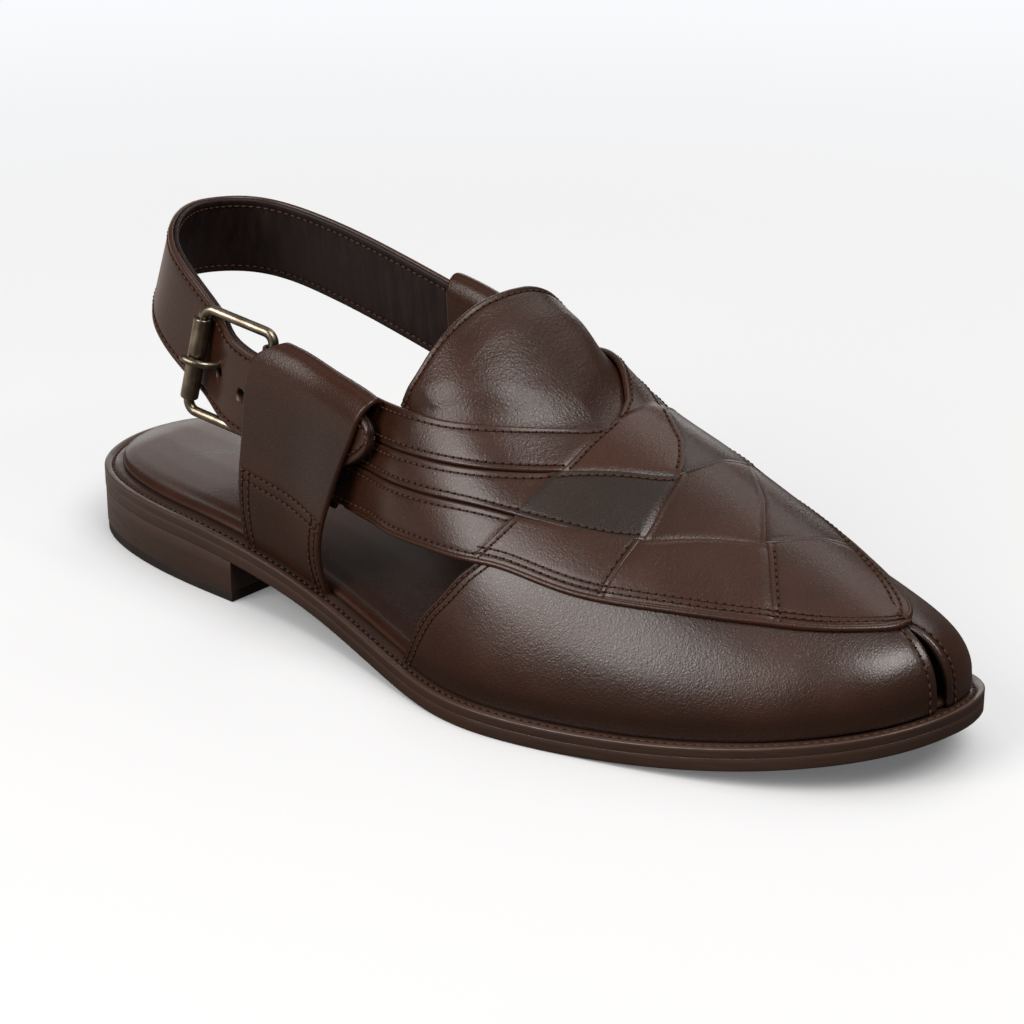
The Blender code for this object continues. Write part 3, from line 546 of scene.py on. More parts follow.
def sew(name, lines, pitch=2.2, length=1.75, thread=.62, hole=.75):
    """Stitches along lines of (point, outward direction), as one mesh."""
    links = []
    start = 0
    for line in lines:
        links += [(start + i, start + i + 1) for i in range(len(line) - 1)]
        start += len(line)
    points, outward = np.split(np.concatenate(lines), 2, axis=1)
    outward = outward[:, [1, 0, 2]] * [-1, -1, 1]
    mesh = bpy.data.meshes.new(name + "_rows")
    mesh.from_pydata(in_world(points).tolist(), links, [])
    layer = mesh.attributes.new("outward", "FLOAT_VECTOR", "POINT")
    layer.data.foreach_set("vector", outward.astype(np.float32).ravel())
    guide = bpy.data.objects.new(name + "_rows", mesh)
    bpy.context.collection.objects.link(guide)
    sewing = guide.modifiers.new("sewing", "NODES")
    sewing.node_group = seam
    for label, value in (("Stitch Pitch", pitch), ("Stitch Length", length), ("Thread Thickness", thread),
                         ("Hole Size", hole)):
        sewing[SEAM_INPUTS[label]] = value * .001
    made = bpy.data.meshes.new_from_object(guide.evaluated_get(bpy.context.evaluated_depsgraph_get()))
    bpy.data.objects.remove(guide)
    made.name = name
    piece = bpy.data.objects.new(name, made)
    bpy.context.collection.objects.link(piece)
    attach(piece, "root")
    return piece


def row_on(sewn_panel, edge, inset, start=0.0, stop=0.0, height=.12, span=None):
    """A line on a panel's good face at one distance from an edge, kept clear of the edge's two ends."""
    distance, top, normal, at = (sewn_panel[key] for key in (edge, "top", "normal", "a"))
    if edge in ("rear", "front"):
        distance, top, normal, at = distance.T, top.transpose(1, 0, 2), normal.transpose(1, 0, 2), at.T
    line = []
    for far, p, o, a in zip(distance, top, normal, at):
        order = np.argsort(far)
        line.append([np.interp(inset, far[order], column[order]) for column in (*p.T, *o.T, a)])
    line = np.array(line)
    line[:, :3] += line[:, 3:6] * height
    d = along(line[:, :3])
    keep = (d >= start) & (d <= d[-1] - stop)
    if span:
        keep &= (line[:, 6] >= span[0]) & (line[:, 6] <= span[1])
    return line[keep, :6]


ring = outline(WELT_ROW, 500)
ring = np.vstack([ring, ring[:1]])
welt_row = np.column_stack([ring, sole_top(ring[:, 0]) - .42, np.tile([0, 0, 1], (len(ring), 1))])
sew("welt_stitches", [welt_row], 2.5, 2.0, .75, .8)

# ---- upper: the last's shape ---------------------------------------------------------------------
# The upper is drawn over a last: low round toe, ridge rising to the instep, sides that tuck in to
# the feather line 5 mm inside the sole's edge. Every panel of the upper lies on this shape.
TOE_SPLIT_Q = -2.0
FAN_FROM, FAN_TO = 262.0, 300.0
RIDGE = [(85, 108), (110, 112), (130, 109.6), (150, 102.2), (170, 87.2), (190, 71.2), (210, 62.8),
         (230, 55.2), (248, 48.8), (261, 44.2), (273, 39.8), (285, 35.6)]


def feather_sides():
    """The two halves of the feather line as functions of the last's station v."""
    ring = outline(MARGIN)
    front = np.where(ring[:, 0] > 280)[0]
    ring = np.roll(ring, -front[np.argmin(np.abs(ring[front, 1] - TOE_SPLIT_Q))], 0)
    back = np.argmin(ring[:, 0])
    sides = []
    for side in (ring[:back + 1], np.vstack([ring[back:], ring[:1]])[::-1]):
        d, tip = along(side), np.argmax(side[:, 0])
        fan = np.interp(FAN_FROM, side[tip:, 0][::-1], d[tip:][::-1])

        def at(v, side=side, d=d, tip=tip, fan=fan):
            behind = np.interp(np.minimum(v, FAN_FROM), side[tip:, 0][::-1], d[tip:][::-1])
            x = np.where(v > FAN_FROM, fan * (FAN_TO - v) / (FAN_TO - FAN_FROM), behind)
            return np.interp(x, d, side[:, 0]), np.interp(x, d, side[:, 1])
        sides.append(at)
    return sides if sides[0](np.array(200.))[1] > 0 else sides[::-1]


lateral_feather, medial_feather = feather_sides()
ridge_height = spline(*zip(*RIDGE))
ridge_q = spline([85, 130, 190, 250, 265, 300], [-1, -3, -8, -9, -8, TOE_SPLIT_Q])
roundness = spline([85, 135, 160, 200, 260, 300], [2.0, 2.05, 2.2, 2.15, 2.1, 2.2])
middle_u = spline([140, 217, 247, 270, 285, 300], [.12, .12, .16, .15, .08, 0])


def last_uv(v, u):
    """Point of the last: u is 1 on the lateral feather line, 0 on the ridge, -1 on the medial one."""
    v, u = np.broadcast_arrays(np.asarray(v, float), np.asarray(u, float))
    g = np.clip((v - FAN_FROM) / (FAN_TO - FAN_FROM), 0, 1)
    ridge_s = np.minimum(v, FAN_FROM) + (FAN_TO - FAN_FROM) * g - 15 * g * g
    (ls, lq), (ms, mq) = lateral_feather(v), medial_feather(v)
    fs, fq = np.where(u >= 0, ls, ms), np.where(u >= 0, lq, mq)
    base = sole_top(fs + 2.2 * smooth((fs - 262) / 30)) + GAP
    t, power = (1 - np.abs(u)) * np.pi / 2, 2 / roundness(v)
    c, h = np.clip(np.cos(t), 0, 1) ** power, np.clip(np.sin(t), 0, 1) ** power
    overhang = np.where(u < 0, -4.5 * smooth((165 - v) / 45), 0)
    q = ridge_q(v) + (fq - ridge_q(v)) * c + overhang * np.sin(2 * t)
    return np.stack([ridge_s + (fs - ridge_s) * c, q, base + (ridge_height(ridge_s) - base) * h], -1)


def last_normal(v, u):
    """The direction straight off the last."""
    va, ua, ub = np.minimum(v + .3, FAN_TO - .02), np.minimum(u + .003, 1), np.maximum(u - .003, -1)
    n = np.cross(last_uv(va, u) - last_uv(va - .6, u), last_uv(v, ua) - last_uv(v, ub))
    return n / np.maximum(np.linalg.norm(n, axis=-1, keepdims=True), 1e-12)


def on_last(v, w, off):
    """Point off the last: w is 0 on the shoe's middle line and +-1 on the feather lines."""
    v, w, off = np.broadcast_arrays(np.asarray(v, float), np.asarray(w, float), np.asarray(off, float))
    c = middle_u(v)
    u = np.where(w >= 0, c + w * (1 - c), c + w * (1 + c))
    return last_uv(v, u) + last_normal(v, u) * off[..., None]


# ---- upper: vamp panels --------------------------------------------------------------------------
# One panel of polished full-grain leather on each side, lasted under at the welt and slit apart at
# the toe. Its waist opening and the slit have a turned edge with stitching.
SIDES = ((1, "lateral"), (-1, "medial"))
WALL, SLIT_EDGE = 1.9, 298.7
WAIST_LOW, WAIST_HIGH = 161.5, 188.0    # ends of the waist opening's edge, at the welt and at the strips
WAIST_ROWS, SLIT_ROW = (1.7, 3.9), 2.6
# the strips' lower border: station, w (0 on the middle line, 1 on the feather line)
LOW_LINE = [(124, .798), (130, .793), (137, .785), (146, .773), (156, .756), (166.5, .722), (176, .681),
            (184, .64), (191, .605), (202, .582), (212.5, .569), (221, .544), (237.5, .469), (249.5, .406),
            (261, .335), (271, .276), (282.5, .197), (292, .10), (298, -.015)]
low_line = spline(*np.array(LOW_LINE).T)
vamp_leather = leather("vamp_leather", 1150.0, .40, .28, Specular_IOR_Level=.55)


def vamp_on(side):
    """The middle of a side's panel: a from the waist opening to the slit, b from the welt to the strips."""
    low, high = np.array([WAIST_LOW, 1]), np.array([WAIST_HIGH, low_line(WAIST_HIGH) - .05])
    rear = spline([0, .1, .3, .5, .7, .85, 1],
                  [low, (164.5, .965), (171, .87), (177, .79), (182, .70), (185.5, .64), high])

    def middle(a, b):
        bottom = np.stack([WAIST_LOW + (SLIT_EDGE - WAIST_LOW) * a, np.ones(a.shape)], -1)
        top_v = WAIST_HIGH + (SLIT_EDGE - WAIST_HIGH) * a
        top = np.stack([top_v, np.maximum(low_line(top_v) - .05, .05)], -1)
        a, b = a[..., None], b[..., None]
        vw = bottom * (1 - b) + top * b + (1 - a) ** 3 * (rear(b[..., 0]) - low - (high - low) * b)
        return on_last(vw[..., 0], vw[..., 1] * side, WALL / 2)
    return middle


def vamp_relief(edges, a, b):
    """Sewn furrows by the waist opening and the slit, and the soft waves of lasted leather."""
    sewn = sum(dent(edges["rear"], at, .5, .16) for at in WAIST_ROWS)
    sewn = sewn + dent(edges["front"], SLIT_ROW, .5, .14)
    turned = -dent(edges["rear"], .8, .5, .12) - dent(edges["front"], 1.0, .5, .14)
    waves = .22 * np.sin(7 * a + 5 * b) * np.sin(9 * a - 3 * b + 1) * smooth(edges["rear"] / 25)
    pull = dent(edges["left"], 3.0, 2.5, .25)
    return sewn + turned + waves + pull


def vamp_painted_shade(edges, a, b):
    """Painted shade along the welt, under the strips' border and beside the slit, where those parts shade the
    panel.
    """
    welt_side = .9 * np.exp(-(edges["left"] / 8.0) ** 2)
    border_side = .5 * np.exp(-(edges["right"] / 4.0) ** 2)
    return np.clip(welt_side + border_side + .5 * np.exp(-(edges["front"] / 1.2) ** 2), 0, 1)


for side, label in SIDES:
    piece, measures = panel("vamp_" + label, vamp_on(side), 210, 84, WALL, vamp_leather, vamp_relief,
                            tint=lambda a, b: .25 - .5 * b, burnish=vamp_painted_shade)
    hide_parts("upper")
    rows = [row_on(measures, "rear", inset, 1.0, 3.0) for inset in WAIST_ROWS]
    rows.append(row_on(measures, "front", SLIT_ROW, 1.0, 1.0))
    sew("vamp_stitches_" + label, rows)

# ---- upper: woven strips -------------------------------------------------------------------------
# Three folded leather strips from each side pass over and under each other on the instep. They come
# from behind the tabs side by side, each with a stitched edge on both sides.
STRIP, STRIP_LIFT, WEAVE_STEP, SLIT, STRIP_ROW = 1.7, .5, 1.0, .5, 1.9
BORDER_ROWS = (STRIP_ROW, 3.5)    # the stitches along the lower border
CLIMB = .022                      # share of a strip's length in which it changes level
MM_PER_W = 60                     # millimetres across the instep for one of w
KNOTS = 160                       # steps along a strip's edge
# the edges of the three lateral strips, from the tab forward; the medial ones mirror them
LINES = [[(130, .52), (141, .505), (152, .475), (164, .41), (173, .323), (181, .22), (189, .10), (194, 0),
          (194.3, -.11), (194.3, -.23), (193, -.31), (191, -.44), (184.6, -.635)],
         [(130, .62), (142, .605), (164.5, .524), (181, .39), (195, .24), (207, .12), (217, 0), (220, -.14),
          (221.7, -.25), (221.5, -.40), (221, -.545)],
         [(127, .693), (132, .688), (142, .678), (167.5, .595), (186, .476), (202, .403), (212, .366),
          (222, .298), (233, .164), (246, 0), (254, -.156), (261, -.335)],
         LOW_LINE]
strip_leather = leather("strip_leather", 1100.0, .36, .14, Specular_IOR_Level=.48)
strip_lining, tree, shader, where = finish_of("strip_lining", Roughness=.7, Specular_IOR_Level=.3)
dress(shader, Base_Color=blend_colour(tree, noise(tree, where, 600.0),
                                      (.010, .006, .0045), (.020, .012, .009)))


def crossings(edge, lines):
    """Places along a strip's edge, counted in its points, at which it crosses lines of the other side."""
    found = []
    for line in lines:
        other = np.array(line, float) * [1, -1]
        other = np.vstack([other, 1.5 * other[-1] - .5 * other[-2]])
        for k, (p, q) in enumerate(zip(edge[:-1], edge[1:])):
            ways = [np.array([q - p, start - end]).T for start, end in zip(other[:-1], other[1:])]
            shares = [np.linalg.solve(way, start - p) for way, start in zip(ways, other)
                      if abs(np.linalg.det(way)) > 1e-12]
            meets = [share[0] for share in shares if share.min() >= 0 and share.max() <= 1]
            if meets:
                found.append(k + meets[0])
                break
    return found


def medial_drop(v, side):
    """How much lower the medial strips run than the lateral ones, behind the weave."""
    return .085 * smooth((190 - v) / 44) if side < 0 else 0.0


def strip_lift(v):
    """Height of a strip's inner face: it tucks in where it goes behind the tab."""
    return STRIP_LIFT - 2.6 * (1 - smooth((v - 136) / 20))


def strip_on(i, side):
    """The middle of strip i of one side, the shares of its length at which its parts begin and end, and
    the level of each part: half up behind the weave, then over or under a strip of the other side."""
    edges, knots = [], []
    for line in (LINES[i], LINES[i + 1]):
        c = np.array(line, float)
        d = along(c * [1, MM_PER_W])
        edges.append(spline(d, c)(np.linspace(0, d[-1], KNOTS + 1)))
        knots.append([0] + crossings(edges[-1], LINES[:3]) + [KNOTS])
    parts = np.array(knots[0]) / KNOTS
    level = [.5] + [float((i + j) % 2 == (side > 0)) for j in range(len(parts) - 2)]

    def middle(a, b):
        a, b = a[..., None], b[..., None]
        woven = np.clip((a - parts[1]) * 40, 0, 1)
        rims = []
        for edge, knot, way in zip(edges, knots, (1, -1)):
            k = np.interp(a[..., 0], parts, knot)
            rim = np.stack([np.interp(k, np.arange(KNOTS + 1), column) for column in edge.T], -1)
            rim[..., 1:] += medial_drop(rim[..., :1], side) + way * SLIT / 130 * (.35 - .85 * woven)
            rims.append(rim)
        v, w = np.moveaxis(rims[0] * (1 - b) + rims[1] * b, -1, 0)
        last_v, last_w = np.moveaxis(edges[0][-1] * (1 - b) + edges[1][-1] * b, -1, 0)
        a, b = a[..., 0], b[..., 0]
        w = w - (low_line(last_v) + last_w) * np.clip((a - parts[-2]) / (1 - parts[-2]), 0, 1) ** 2
        climbed = level[0] + sum(up * smooth((a - part) / CLIMB + .5 + .2 * np.sign(up))
                                 for part, up in zip(parts[1:], np.diff(level)))
        pillow = .12 * (1 - (2 * b - 1) ** 2)
        return on_last(v, w * side, strip_lift(v) + WEAVE_STEP * climbed + STRIP / 2 + pillow)
    return middle, parts, level


def strip_relief(edges, a, b):
    """A rolled bead along both edges and the furrow of the stitches beside it."""
    return dent(long_rim(edges), STRIP_ROW, .45, .08) - dent(long_rim(edges), .75, .35, .05)


def strip_painted_shade(edges, a, b):
    """Painted shade in the stitched furrows."""
    return -dent(long_rim(edges), STRIP_ROW, .6, .25)


def round_bar(name, path, radius, finish, slot, out, sides=16, closed=False, **fields):
    """A round bar along a path, its radius one number or one for each point; out is roughly outwards."""
    n = len(path)
    ahead = np.roll(path, -1, 0) - np.roll(path, 1, 0) if closed else np.gradient(path, axis=0)
    ahead /= np.linalg.norm(ahead, axis=1)[:, None]
    across = np.cross(ahead, out)
    across /= np.linalg.norm(across, axis=1)[:, None]
    up = np.cross(across, ahead)
    angle = np.linspace(0, 2 * np.pi, sides + 1)[:-1]
    turn = np.cos(angle)[None, :, None] * across[:, None] + np.sin(angle)[None, :, None] * up[:, None]
    points = path[:, None] + np.broadcast_to(radius, n)[:, None, None] * turn
    faces = ring_faces(n, sides, closed)
    if not closed:
        faces += [range(sides)[::-1], range((n - 1) * sides, n * sides)]
    piece = new_piece(name, points, faces, finish, **fields)
    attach(piece, "root")
    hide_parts(slot)
    return piece


def border_line(side, inset, first, last, height):
    """A line beside the strips' lower border, over the upper strip's face by a height."""
    v = np.linspace(first, last, 240)
    w = low_line(v)
    wide = np.linalg.norm(on_last(v, w - .02, 2) - on_last(v, w, 2), axis=-1) / .02
    w = w - inset / wide + medial_drop(v, side)
    level = .5 + .5 * smooth((v - 174) / 12)
    off = strip_lift(v) + WEAVE_STEP * level + STRIP + height
    return np.hstack([on_last(v, w * side, off), last_normal(v, w * side)])


# redder (+) or greyer (-) by lateral strip and crossing
CELL_TINTS = {(0, 0): .8, (1, 0): -.9, (2, 0): .1, (0, 1): -.8, (1, 1): .1, (2, 1): .35,
              (1, 2): -.2, (2, 2): .15}
for side, label in SIDES:
    rows = []
    for i in range(3):
        middle, parts, level = strip_on(i, side)
        shades = [.1] + [CELL_TINTS.get((i, j) if side > 0 else (j, i), 0) for j in range(len(level) - 1)]

        def tint(a, b, parts=parts, shades=shades):
            return np.array(shades)[np.clip(np.searchsorted(parts, a) - 1, 0, len(shades) - 1)]

        def relief(edges, a, b, i=i, side=side, parts=parts):
            """The second strip also shows an edge where its woven part begins."""
            patch = dent((a - parts[1]) * 130, 0, .5, .3) if i == 1 and side > 0 else 0
            ends = sum(dent(edges["front"], at, .45, .16) for at in BORDER_ROWS)
            return strip_relief(edges, a, b) + patch + ends

        piece, measures = panel(f"strip_{label}_{i + 1}", middle, 280, 38, STRIP, strip_leather, relief, tint,
                                rounding=.55, burnish=strip_painted_shade)
        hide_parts("upper")
        spans = [((0, parts[1] - .008), ("left", "right"))]
        for j in range(1, len(level)):
            span = (parts[j] + .012, parts[j + 1] - .012)
            if level[j] == 1 and (j == 1 or (side < 0 and i == 0)):
                spans.append((span, ("left", "right")))
            elif side < 0 and i == 2 and j == 3:
                spans.append((span, ("left",)))
        rows += [row_on(measures, edge, STRIP_ROW, span=span) for span, sewn in spans for edge in sewn]
    rows += [border_line(side, inset, 186, 295, .12) for inset in BORDER_ROWS]
    sew("strip_stitches_" + label, [row for row in rows if len(row) > 3])
    rim = border_line(side, -.1, 129, 297.5, -STRIP / 2 + .15)
    roll = .25 + .6 * smooth(np.linspace(0, 18, len(rim)))
    round_bar("border_roll_" + label, rim[:, :3], roll, strip_leather, "upper", rim[:, 3:],
              edge=1.0, tint=.25)

# a thin dark lining joins the strips' backs between the tab and the weave
high_line = spline(*np.array(LINES[0][:8]).T)
for side, label in SIDES:
    def backing_on(a, b, side=side):
        """Behind the strips, from inside the tab to the first crossing, from the first strip to the third."""
        v = 131 + 62 * a
        w = (high_line(v) + .045) * (1 - b) + (low_line(v) - .03) * b + medial_drop(v, side)
        return on_last(v, w * side, strip_lift(v) + WEAVE_STEP * .5 - .25)

    piece, _ = panel("strip_lining_" + label, backing_on, 40, 34, .6, strip_lining, rounding=.3)
    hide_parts("upper")

# ---- tongue --------------------------------------------------------------------------------------
# A soft rounded flap under the weave, stitched round its free edge; it bears a few slack wrinkles.
TONGUE_ROW = 2.0
tongue_leather = leather("tongue_leather", 900.0, .55, .06, Specular_IOR_Level=.45)
free_edge = spline([-1, -.75, -.5, -.2, 0, .2, .4, .6, .8, .95, 1],
                   [148, 155.5, 157.8, 156.7, 154.9, 153.5, 152.1, 150.4, 148.5, 145.6, 144.5])


def tongue_on(a, b):
    """Lengthways from the free edge to the foot under the weave, across from medial to lateral."""
    x = 2 * b - 1
    w = np.where(x < 0, .625 * x, .5 * x)
    cover = np.interp(np.abs(w), [0, .10, .22, .323, .41, .475, .505], [194, 189, 181, 173, 164, 152, 141])
    cover = np.where(w < 0, cover + 9 * np.abs(x) ** 3, cover)
    rear_v = free_edge(x)
    v = rear_v + (cover + 9 - rear_v) * a
    free = smooth((cover - 1 - v) / 12)
    return on_last(v, w, strip_lift(v) - .4 + 1.4 * free - 1.0)


def tongue_relief(edges, a, b):
    """The stitched rim, and slack wrinkles running across and down."""
    rim = np.minimum(long_rim(edges), edges["rear"])
    body = smooth((rim - 4) / 8)
    wrinkles = (.02 * np.sin(34 * a + 15 * b + 2 * np.sin(7 * b)) * np.exp(-((a - .45) / .3) ** 2)
                + .01 * np.sin(52 * a - 24 * b) * np.exp(-((b - .6) / .2) ** 2))
    slack = .25 * np.sin(np.pi * b) * np.exp(-((a - .35) / .3) ** 2)
    return dent(rim, TONGUE_ROW, .45, .2) - dent(rim, .8, .4, .12) + body * (.3 + slack + wrinkles)


tongue, measures = panel("tongue_flap", tongue_on, 100, 130, 2.0, tongue_leather, tongue_relief,
                         tint=lambda a, b: -.25 + .2 * b)
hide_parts("tongue")
rows = [row_on(measures, "rear", TONGUE_ROW, 1.5, 1.5)]
sew("tongue_stitches", rows + [row_on(measures, edge, TONGUE_ROW, 2) for edge in ("left", "right")])

# ---- heel strap ----------------------------------------------------------------------------------
# Two leathers glued back to back and sewn along both edges, from a point inside the lateral tab
# round the heel and into the medial tab. The lining is smooth and almost black.
STRAP_WIDTH, STRAP, TIP, STRAP_ROW = 25.2, 3.0, 22.0, 2.3
SPARE_HOLE, PRONG_HOLE = (90.4, 1.5, .4), (80.2, 1.7, .2)    # station, radius, drop below the middle line
# its middle line, from its tip in the lateral tab: s, q, z, lean in degrees
STRAP_PATH = [(142, 40.2, 64, 12), (128, 38.8, 62.2, 11), (114, 37.2, 61.8, 7), (102, 37.2, 62.5, 5),
              (92, 37.2, 64, 4), (83, 36.1, 66.7, 4), (75, 33.6, 70.4, 5), (66, 31.9, 75.2, 7),
              (49, 27, 84.5, 12), (35.5, 12.5, 89, 16), (30, -5, 88.5, 17), (36, -19.5, 87, 14),
              (58, -27.5, 83, 8), (85, -30, 76.8, 6), (110, -31.4, 70.3, 5), (132, -31.6, 65.2, 5)]
strap_leather = leather("strap_leather", 1900.0, .16, .16, Specular_IOR_Level=.5)
strap_lining, tree, shader, where = finish_of("strap_lining", Roughness=.55, Specular_IOR_Level=.3)
streaks = noise(tree, stretched(tree, where, (1, 1, .16)), 420.0, 4.0, .6)
dress(shader, Roughness=ramp(tree, streaks, .3, .7, .44, .6), Normal=bumped(tree, streaks, .6, .0002),
      Base_Color=blend_colour(tree, ramp(tree, streaks, .35, .7),
                              (.0125, .0068, .0066), (.0235, .0125, .0118)))
path = np.array(STRAP_PATH, float)
strap_length = along(path[:, :3])[-1]
strap_at = spline(along(path[:, :3]), path)


def strap_frame(t):
    """Middle point, direction across the strap (up) and outward normal."""
    c, ahead = strap_at(t)[..., :3], strap_at(t + .5)[..., :3] - strap_at(t - .5)[..., :3]
    plan = ahead[..., :2] / np.linalg.norm(ahead[..., :2], axis=-1, keepdims=True)
    inward = np.stack([-plan[..., 1], plan[..., 0]], -1)
    lean = np.radians(strap_at(t)[..., 3:])
    up = np.concatenate([inward * np.sin(lean), np.cos(lean)], -1)
    ahead = ahead / np.linalg.norm(ahead, axis=-1, keepdims=True)
    up = up - (up * ahead).sum(-1, keepdims=True) * ahead
    up /= np.linalg.norm(up, axis=-1, keepdims=True)
    out = np.cross(ahead, up)
    return c, up, out * np.sign((out[..., :2] * -inward).sum(-1, keepdims=True))


def strap_layer(off):
    """One layer of the strap, at a distance outwards from its middle."""
    def middle(a, b):
        t = a * strap_length
        c, up, out = strap_frame(t)
        width = STRAP_WIDTH * (.12 + .88 * np.sqrt(np.clip(t / TIP, 0, 1))) / 2
        return c + up * (width * (1 - 2 * b))[..., None] + out * off
    return middle


def strap_relief(edges, a, b):
    """Furrows along the stitches, with a bead between them and the edge."""
    return dent(long_rim(edges), STRAP_ROW, .45, .16) - dent(long_rim(edges), 1.2, .45, .08)


def punch_holes(piece, places):
    """Holes through a piece; a place is the corner points round a hole's middle, and half its depth."""
    for mouth, through in places:
        n = len(mouth)
        points = np.concatenate([mouth - through, mouth + through])
        faces = ring_faces(2, n) + [range(n)[::-1], range(n, 2 * n)]
        punch = new_piece("punch", points, faces, strap_lining)
        cut = piece.modifiers.new("punch", "BOOLEAN")
        cut.operation, cut.solver, cut.object = "DIFFERENCE", "MANIFOLD", punch
        mesh = bpy.data.meshes.new_from_object(piece.evaluated_get(bpy.context.evaluated_depsgraph_get()))
        piece.modifiers.clear()
        piece.data = mesh
        bpy.data.objects.remove(punch)


def hole_at(s, radius, drop):
    """A round hole through the strap at a station, below its middle line."""
    near_buckle = np.linspace(30, 70, 400)
    t = np.interp(-s, -strap_at(near_buckle)[:, 0], near_buckle)
    c, up, out = strap_frame(np.array([t]))
    angle = np.linspace(0, 2 * np.pi, 25)[:-1, None]
    ahead = np.cross(up, out)
    return c + radius * (np.cos(angle) * ahead + np.sin(angle) * up) - drop * up, out * 4


for name, off, thick, finish, face in (("heel_strap_outside", .72, 1.5, strap_leather, 1),
                                       ("heel_strap_lining", -.78, 1.35, strap_lining, -1)):
    piece, measures = panel(name, strap_layer(off), 280, 36, thick, finish, strap_relief, core=(80, 0, None),
                            rounding=.65, face=face)
    punch_holes(piece, [hole_at(*SPARE_HOLE), hole_at(*PRONG_HOLE)])
    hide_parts("heel_strap")
    rows = [row_on(measures, edge, STRAP_ROW, 1, 1) for edge in ("left", "right")]
    sew(name + "_stitches", rows)

# ---- tabs ----------------------------------------------------------------------------------------
# Each tab is one wide leather that comes up from the welt outside the strap, folds over it and ends
# inside; a box of double stitching holds its two layers together below the strap.
TAB, STACK_IN_TAB, FOLD, FOLD_HIGH = 1.8, 5.6, 4.1, 7.0
INNER_LONG = 33.0      # the inner layer, below the fold
UPRIGHT_FROM = 46.0    # height from which the outer layer stands upright
TAB_ROWS, BOX_ROWS = (2.0, 4.6), (25.0, 22.0)    # stitches from the tab's sides, and from its foot
# side, name, how far ahead of the lateral tab it is, its top: station, height of the fold
TABS = [(1, "lateral", 0.0, [(88, 76), (97, 76.6), (105, 76), (111, 74.9), (120, 72.7), (130, 71),
                             (138, 69.6), (144, 68)]),
        (-1, "medial", 13.5, [(99, 82), (108, 83.2), (116, 82.4), (131, 78.8), (144, 75), (155, 72)])]
tab_leather = leather("tab_leather", 1100.0, .36, .16, Specular_IOR_Level=.42)
front_edge = spline([12, 25, 34, 44, 54, 63, 70, 75, 80], [125, 126, 128, 131, 134, 137.2, 139.5, 142, 143])
rear_edge = spline([12, 26, 43, 58, 69, 75, 79, 83], [88.5, 90, 91.7, 92.9, 93.7, 95.5, 98.5, 101])


def on_side(v, z, side):
    """Point of the last's side at a height."""
    base = sole_top(v) + GAP
    f = np.clip((z - base) / (ridge_height(v) - base), 0, .95) ** (roundness(v) / 2)
    return last_uv(v, side * (1 - 2 * np.arcsin(f) / np.pi))


def strap_q(s, z, side):
    """The strap's middle surface at a station and height, inside a tab."""
    run = np.array(sorted(p for p in STRAP_PATH if p[1] * side > 0 and p[0] > 60), float)
    q, mid_z, lean = np.moveaxis(spline(run[:, 0], run[:, 1:])(s), -1, 0)
    return q - side * (z - mid_z) * np.tan(np.radians(lean))


def tab_on(side, shift, top):
    """Lengthways up the outer layer, over the fold and down the inner layer; across from rear to front.
    The inner layer is cut narrower. A few rounds settle height and station, which lean on each other."""
    fold = spline(*zip(*top))
    inner_rear, inner_cut = (103.5, .2) if side > 0 else (97.0, 12.0)

    def middle(a, b):
        up, round_fold, down = (np.clip(3 * a - start, 0, 1) for start in (0, 1, 2))
        angle, down = np.pi * round_fold, INNER_LONG * down
        s = 88 + 40 * b + shift
        for _ in range(5):
            foot, crease = sole_top(s) + 2 * GAP, fold(s) - FOLD_HIGH + FOLD
            z = foot + up * (crease - foot) + FOLD_HIGH * np.sin(angle) - down
            back = smooth((np.degrees(angle) - 25) / 70)
            rear, front = rear_edge(z) + shift, front_edge(z) + shift
            rear = rear + (inner_rear + shift - rear) * back
            front = front - back * (inner_cut + down * .2)
            s = rear + (front - rear) * b
        outer_q = strap_q(s, z, side) + side * (STRAP / 2 + GAP + TAB / 2)
        near = smooth((s - shift - 110) / 14)
        inner_q = ((strap_q(s, z, side) - side * STACK_IN_TAB) * (1 - near)
                   + (on_side(s, z, side)[..., 1] - side * 4.0) * near)
        rise = np.clip((z - foot) / (UPRIGHT_FROM - foot), 0, 1)
        low = lateral_feather(s)[1] if side > 0 else medial_feather(s)[1]
        rising = low + side * 1.1 + (outer_q - low - side * 1.1) * np.sin(rise * np.pi / 2)
        turned_q = outer_q - side * 2 * FOLD
        folded = (outer_q + turned_q) / 2 + (outer_q - turned_q) / 2 * np.cos(angle)
        falling = turned_q + (inner_q - turned_q) * smooth(down / 14)
        return np.stack([s, np.where(a <= 1 / 3, rising, np.where(a <= 2 / 3, folded, falling)), z], -1)
    return middle


def tab_relief(edges, a, b):
    """The furrows of the box stitch, with the leather swelling softly inside it."""
    low = smooth((BOX_ROWS[0] + 2 - edges["rear"]) / 3)
    sides = sum(dent(edges[edge], at, .45, .18) for edge in ("left", "right") for at in TAB_ROWS)
    across = sum(dent(edges["rear"], at, .45, .18) for at in BOX_ROWS)
    return sides * low + across * smooth((long_rim(edges) - 1.5) / 3)


def tab_painted_shade(edges, a, b):
    """Painted shade between the box and the fold."""
    return .55 * smooth((a - .14) / .08) * (1 - smooth((a - .28) / .05))


for side, label, shift, top in TABS:
    piece, measures = panel("tab_leather_" + label, tab_on(side, shift, top), 230, 56, TAB, tab_leather,
                            tab_relief, lambda a, b: .15 - .3 * smooth((.45 - a) / .3), burnish=tab_painted_shade)
    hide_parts("tab_" + label)
    rows = [row_on(measures, edge, inset, 1.0, span=(0, .142))
            for edge in ("left", "right") for inset in TAB_ROWS]
    rows += [row_on(measures, "rear", inset, 2.0, 2.0) for inset in BOX_ROWS]
    sew(f"tab_stitches_{label}", rows)

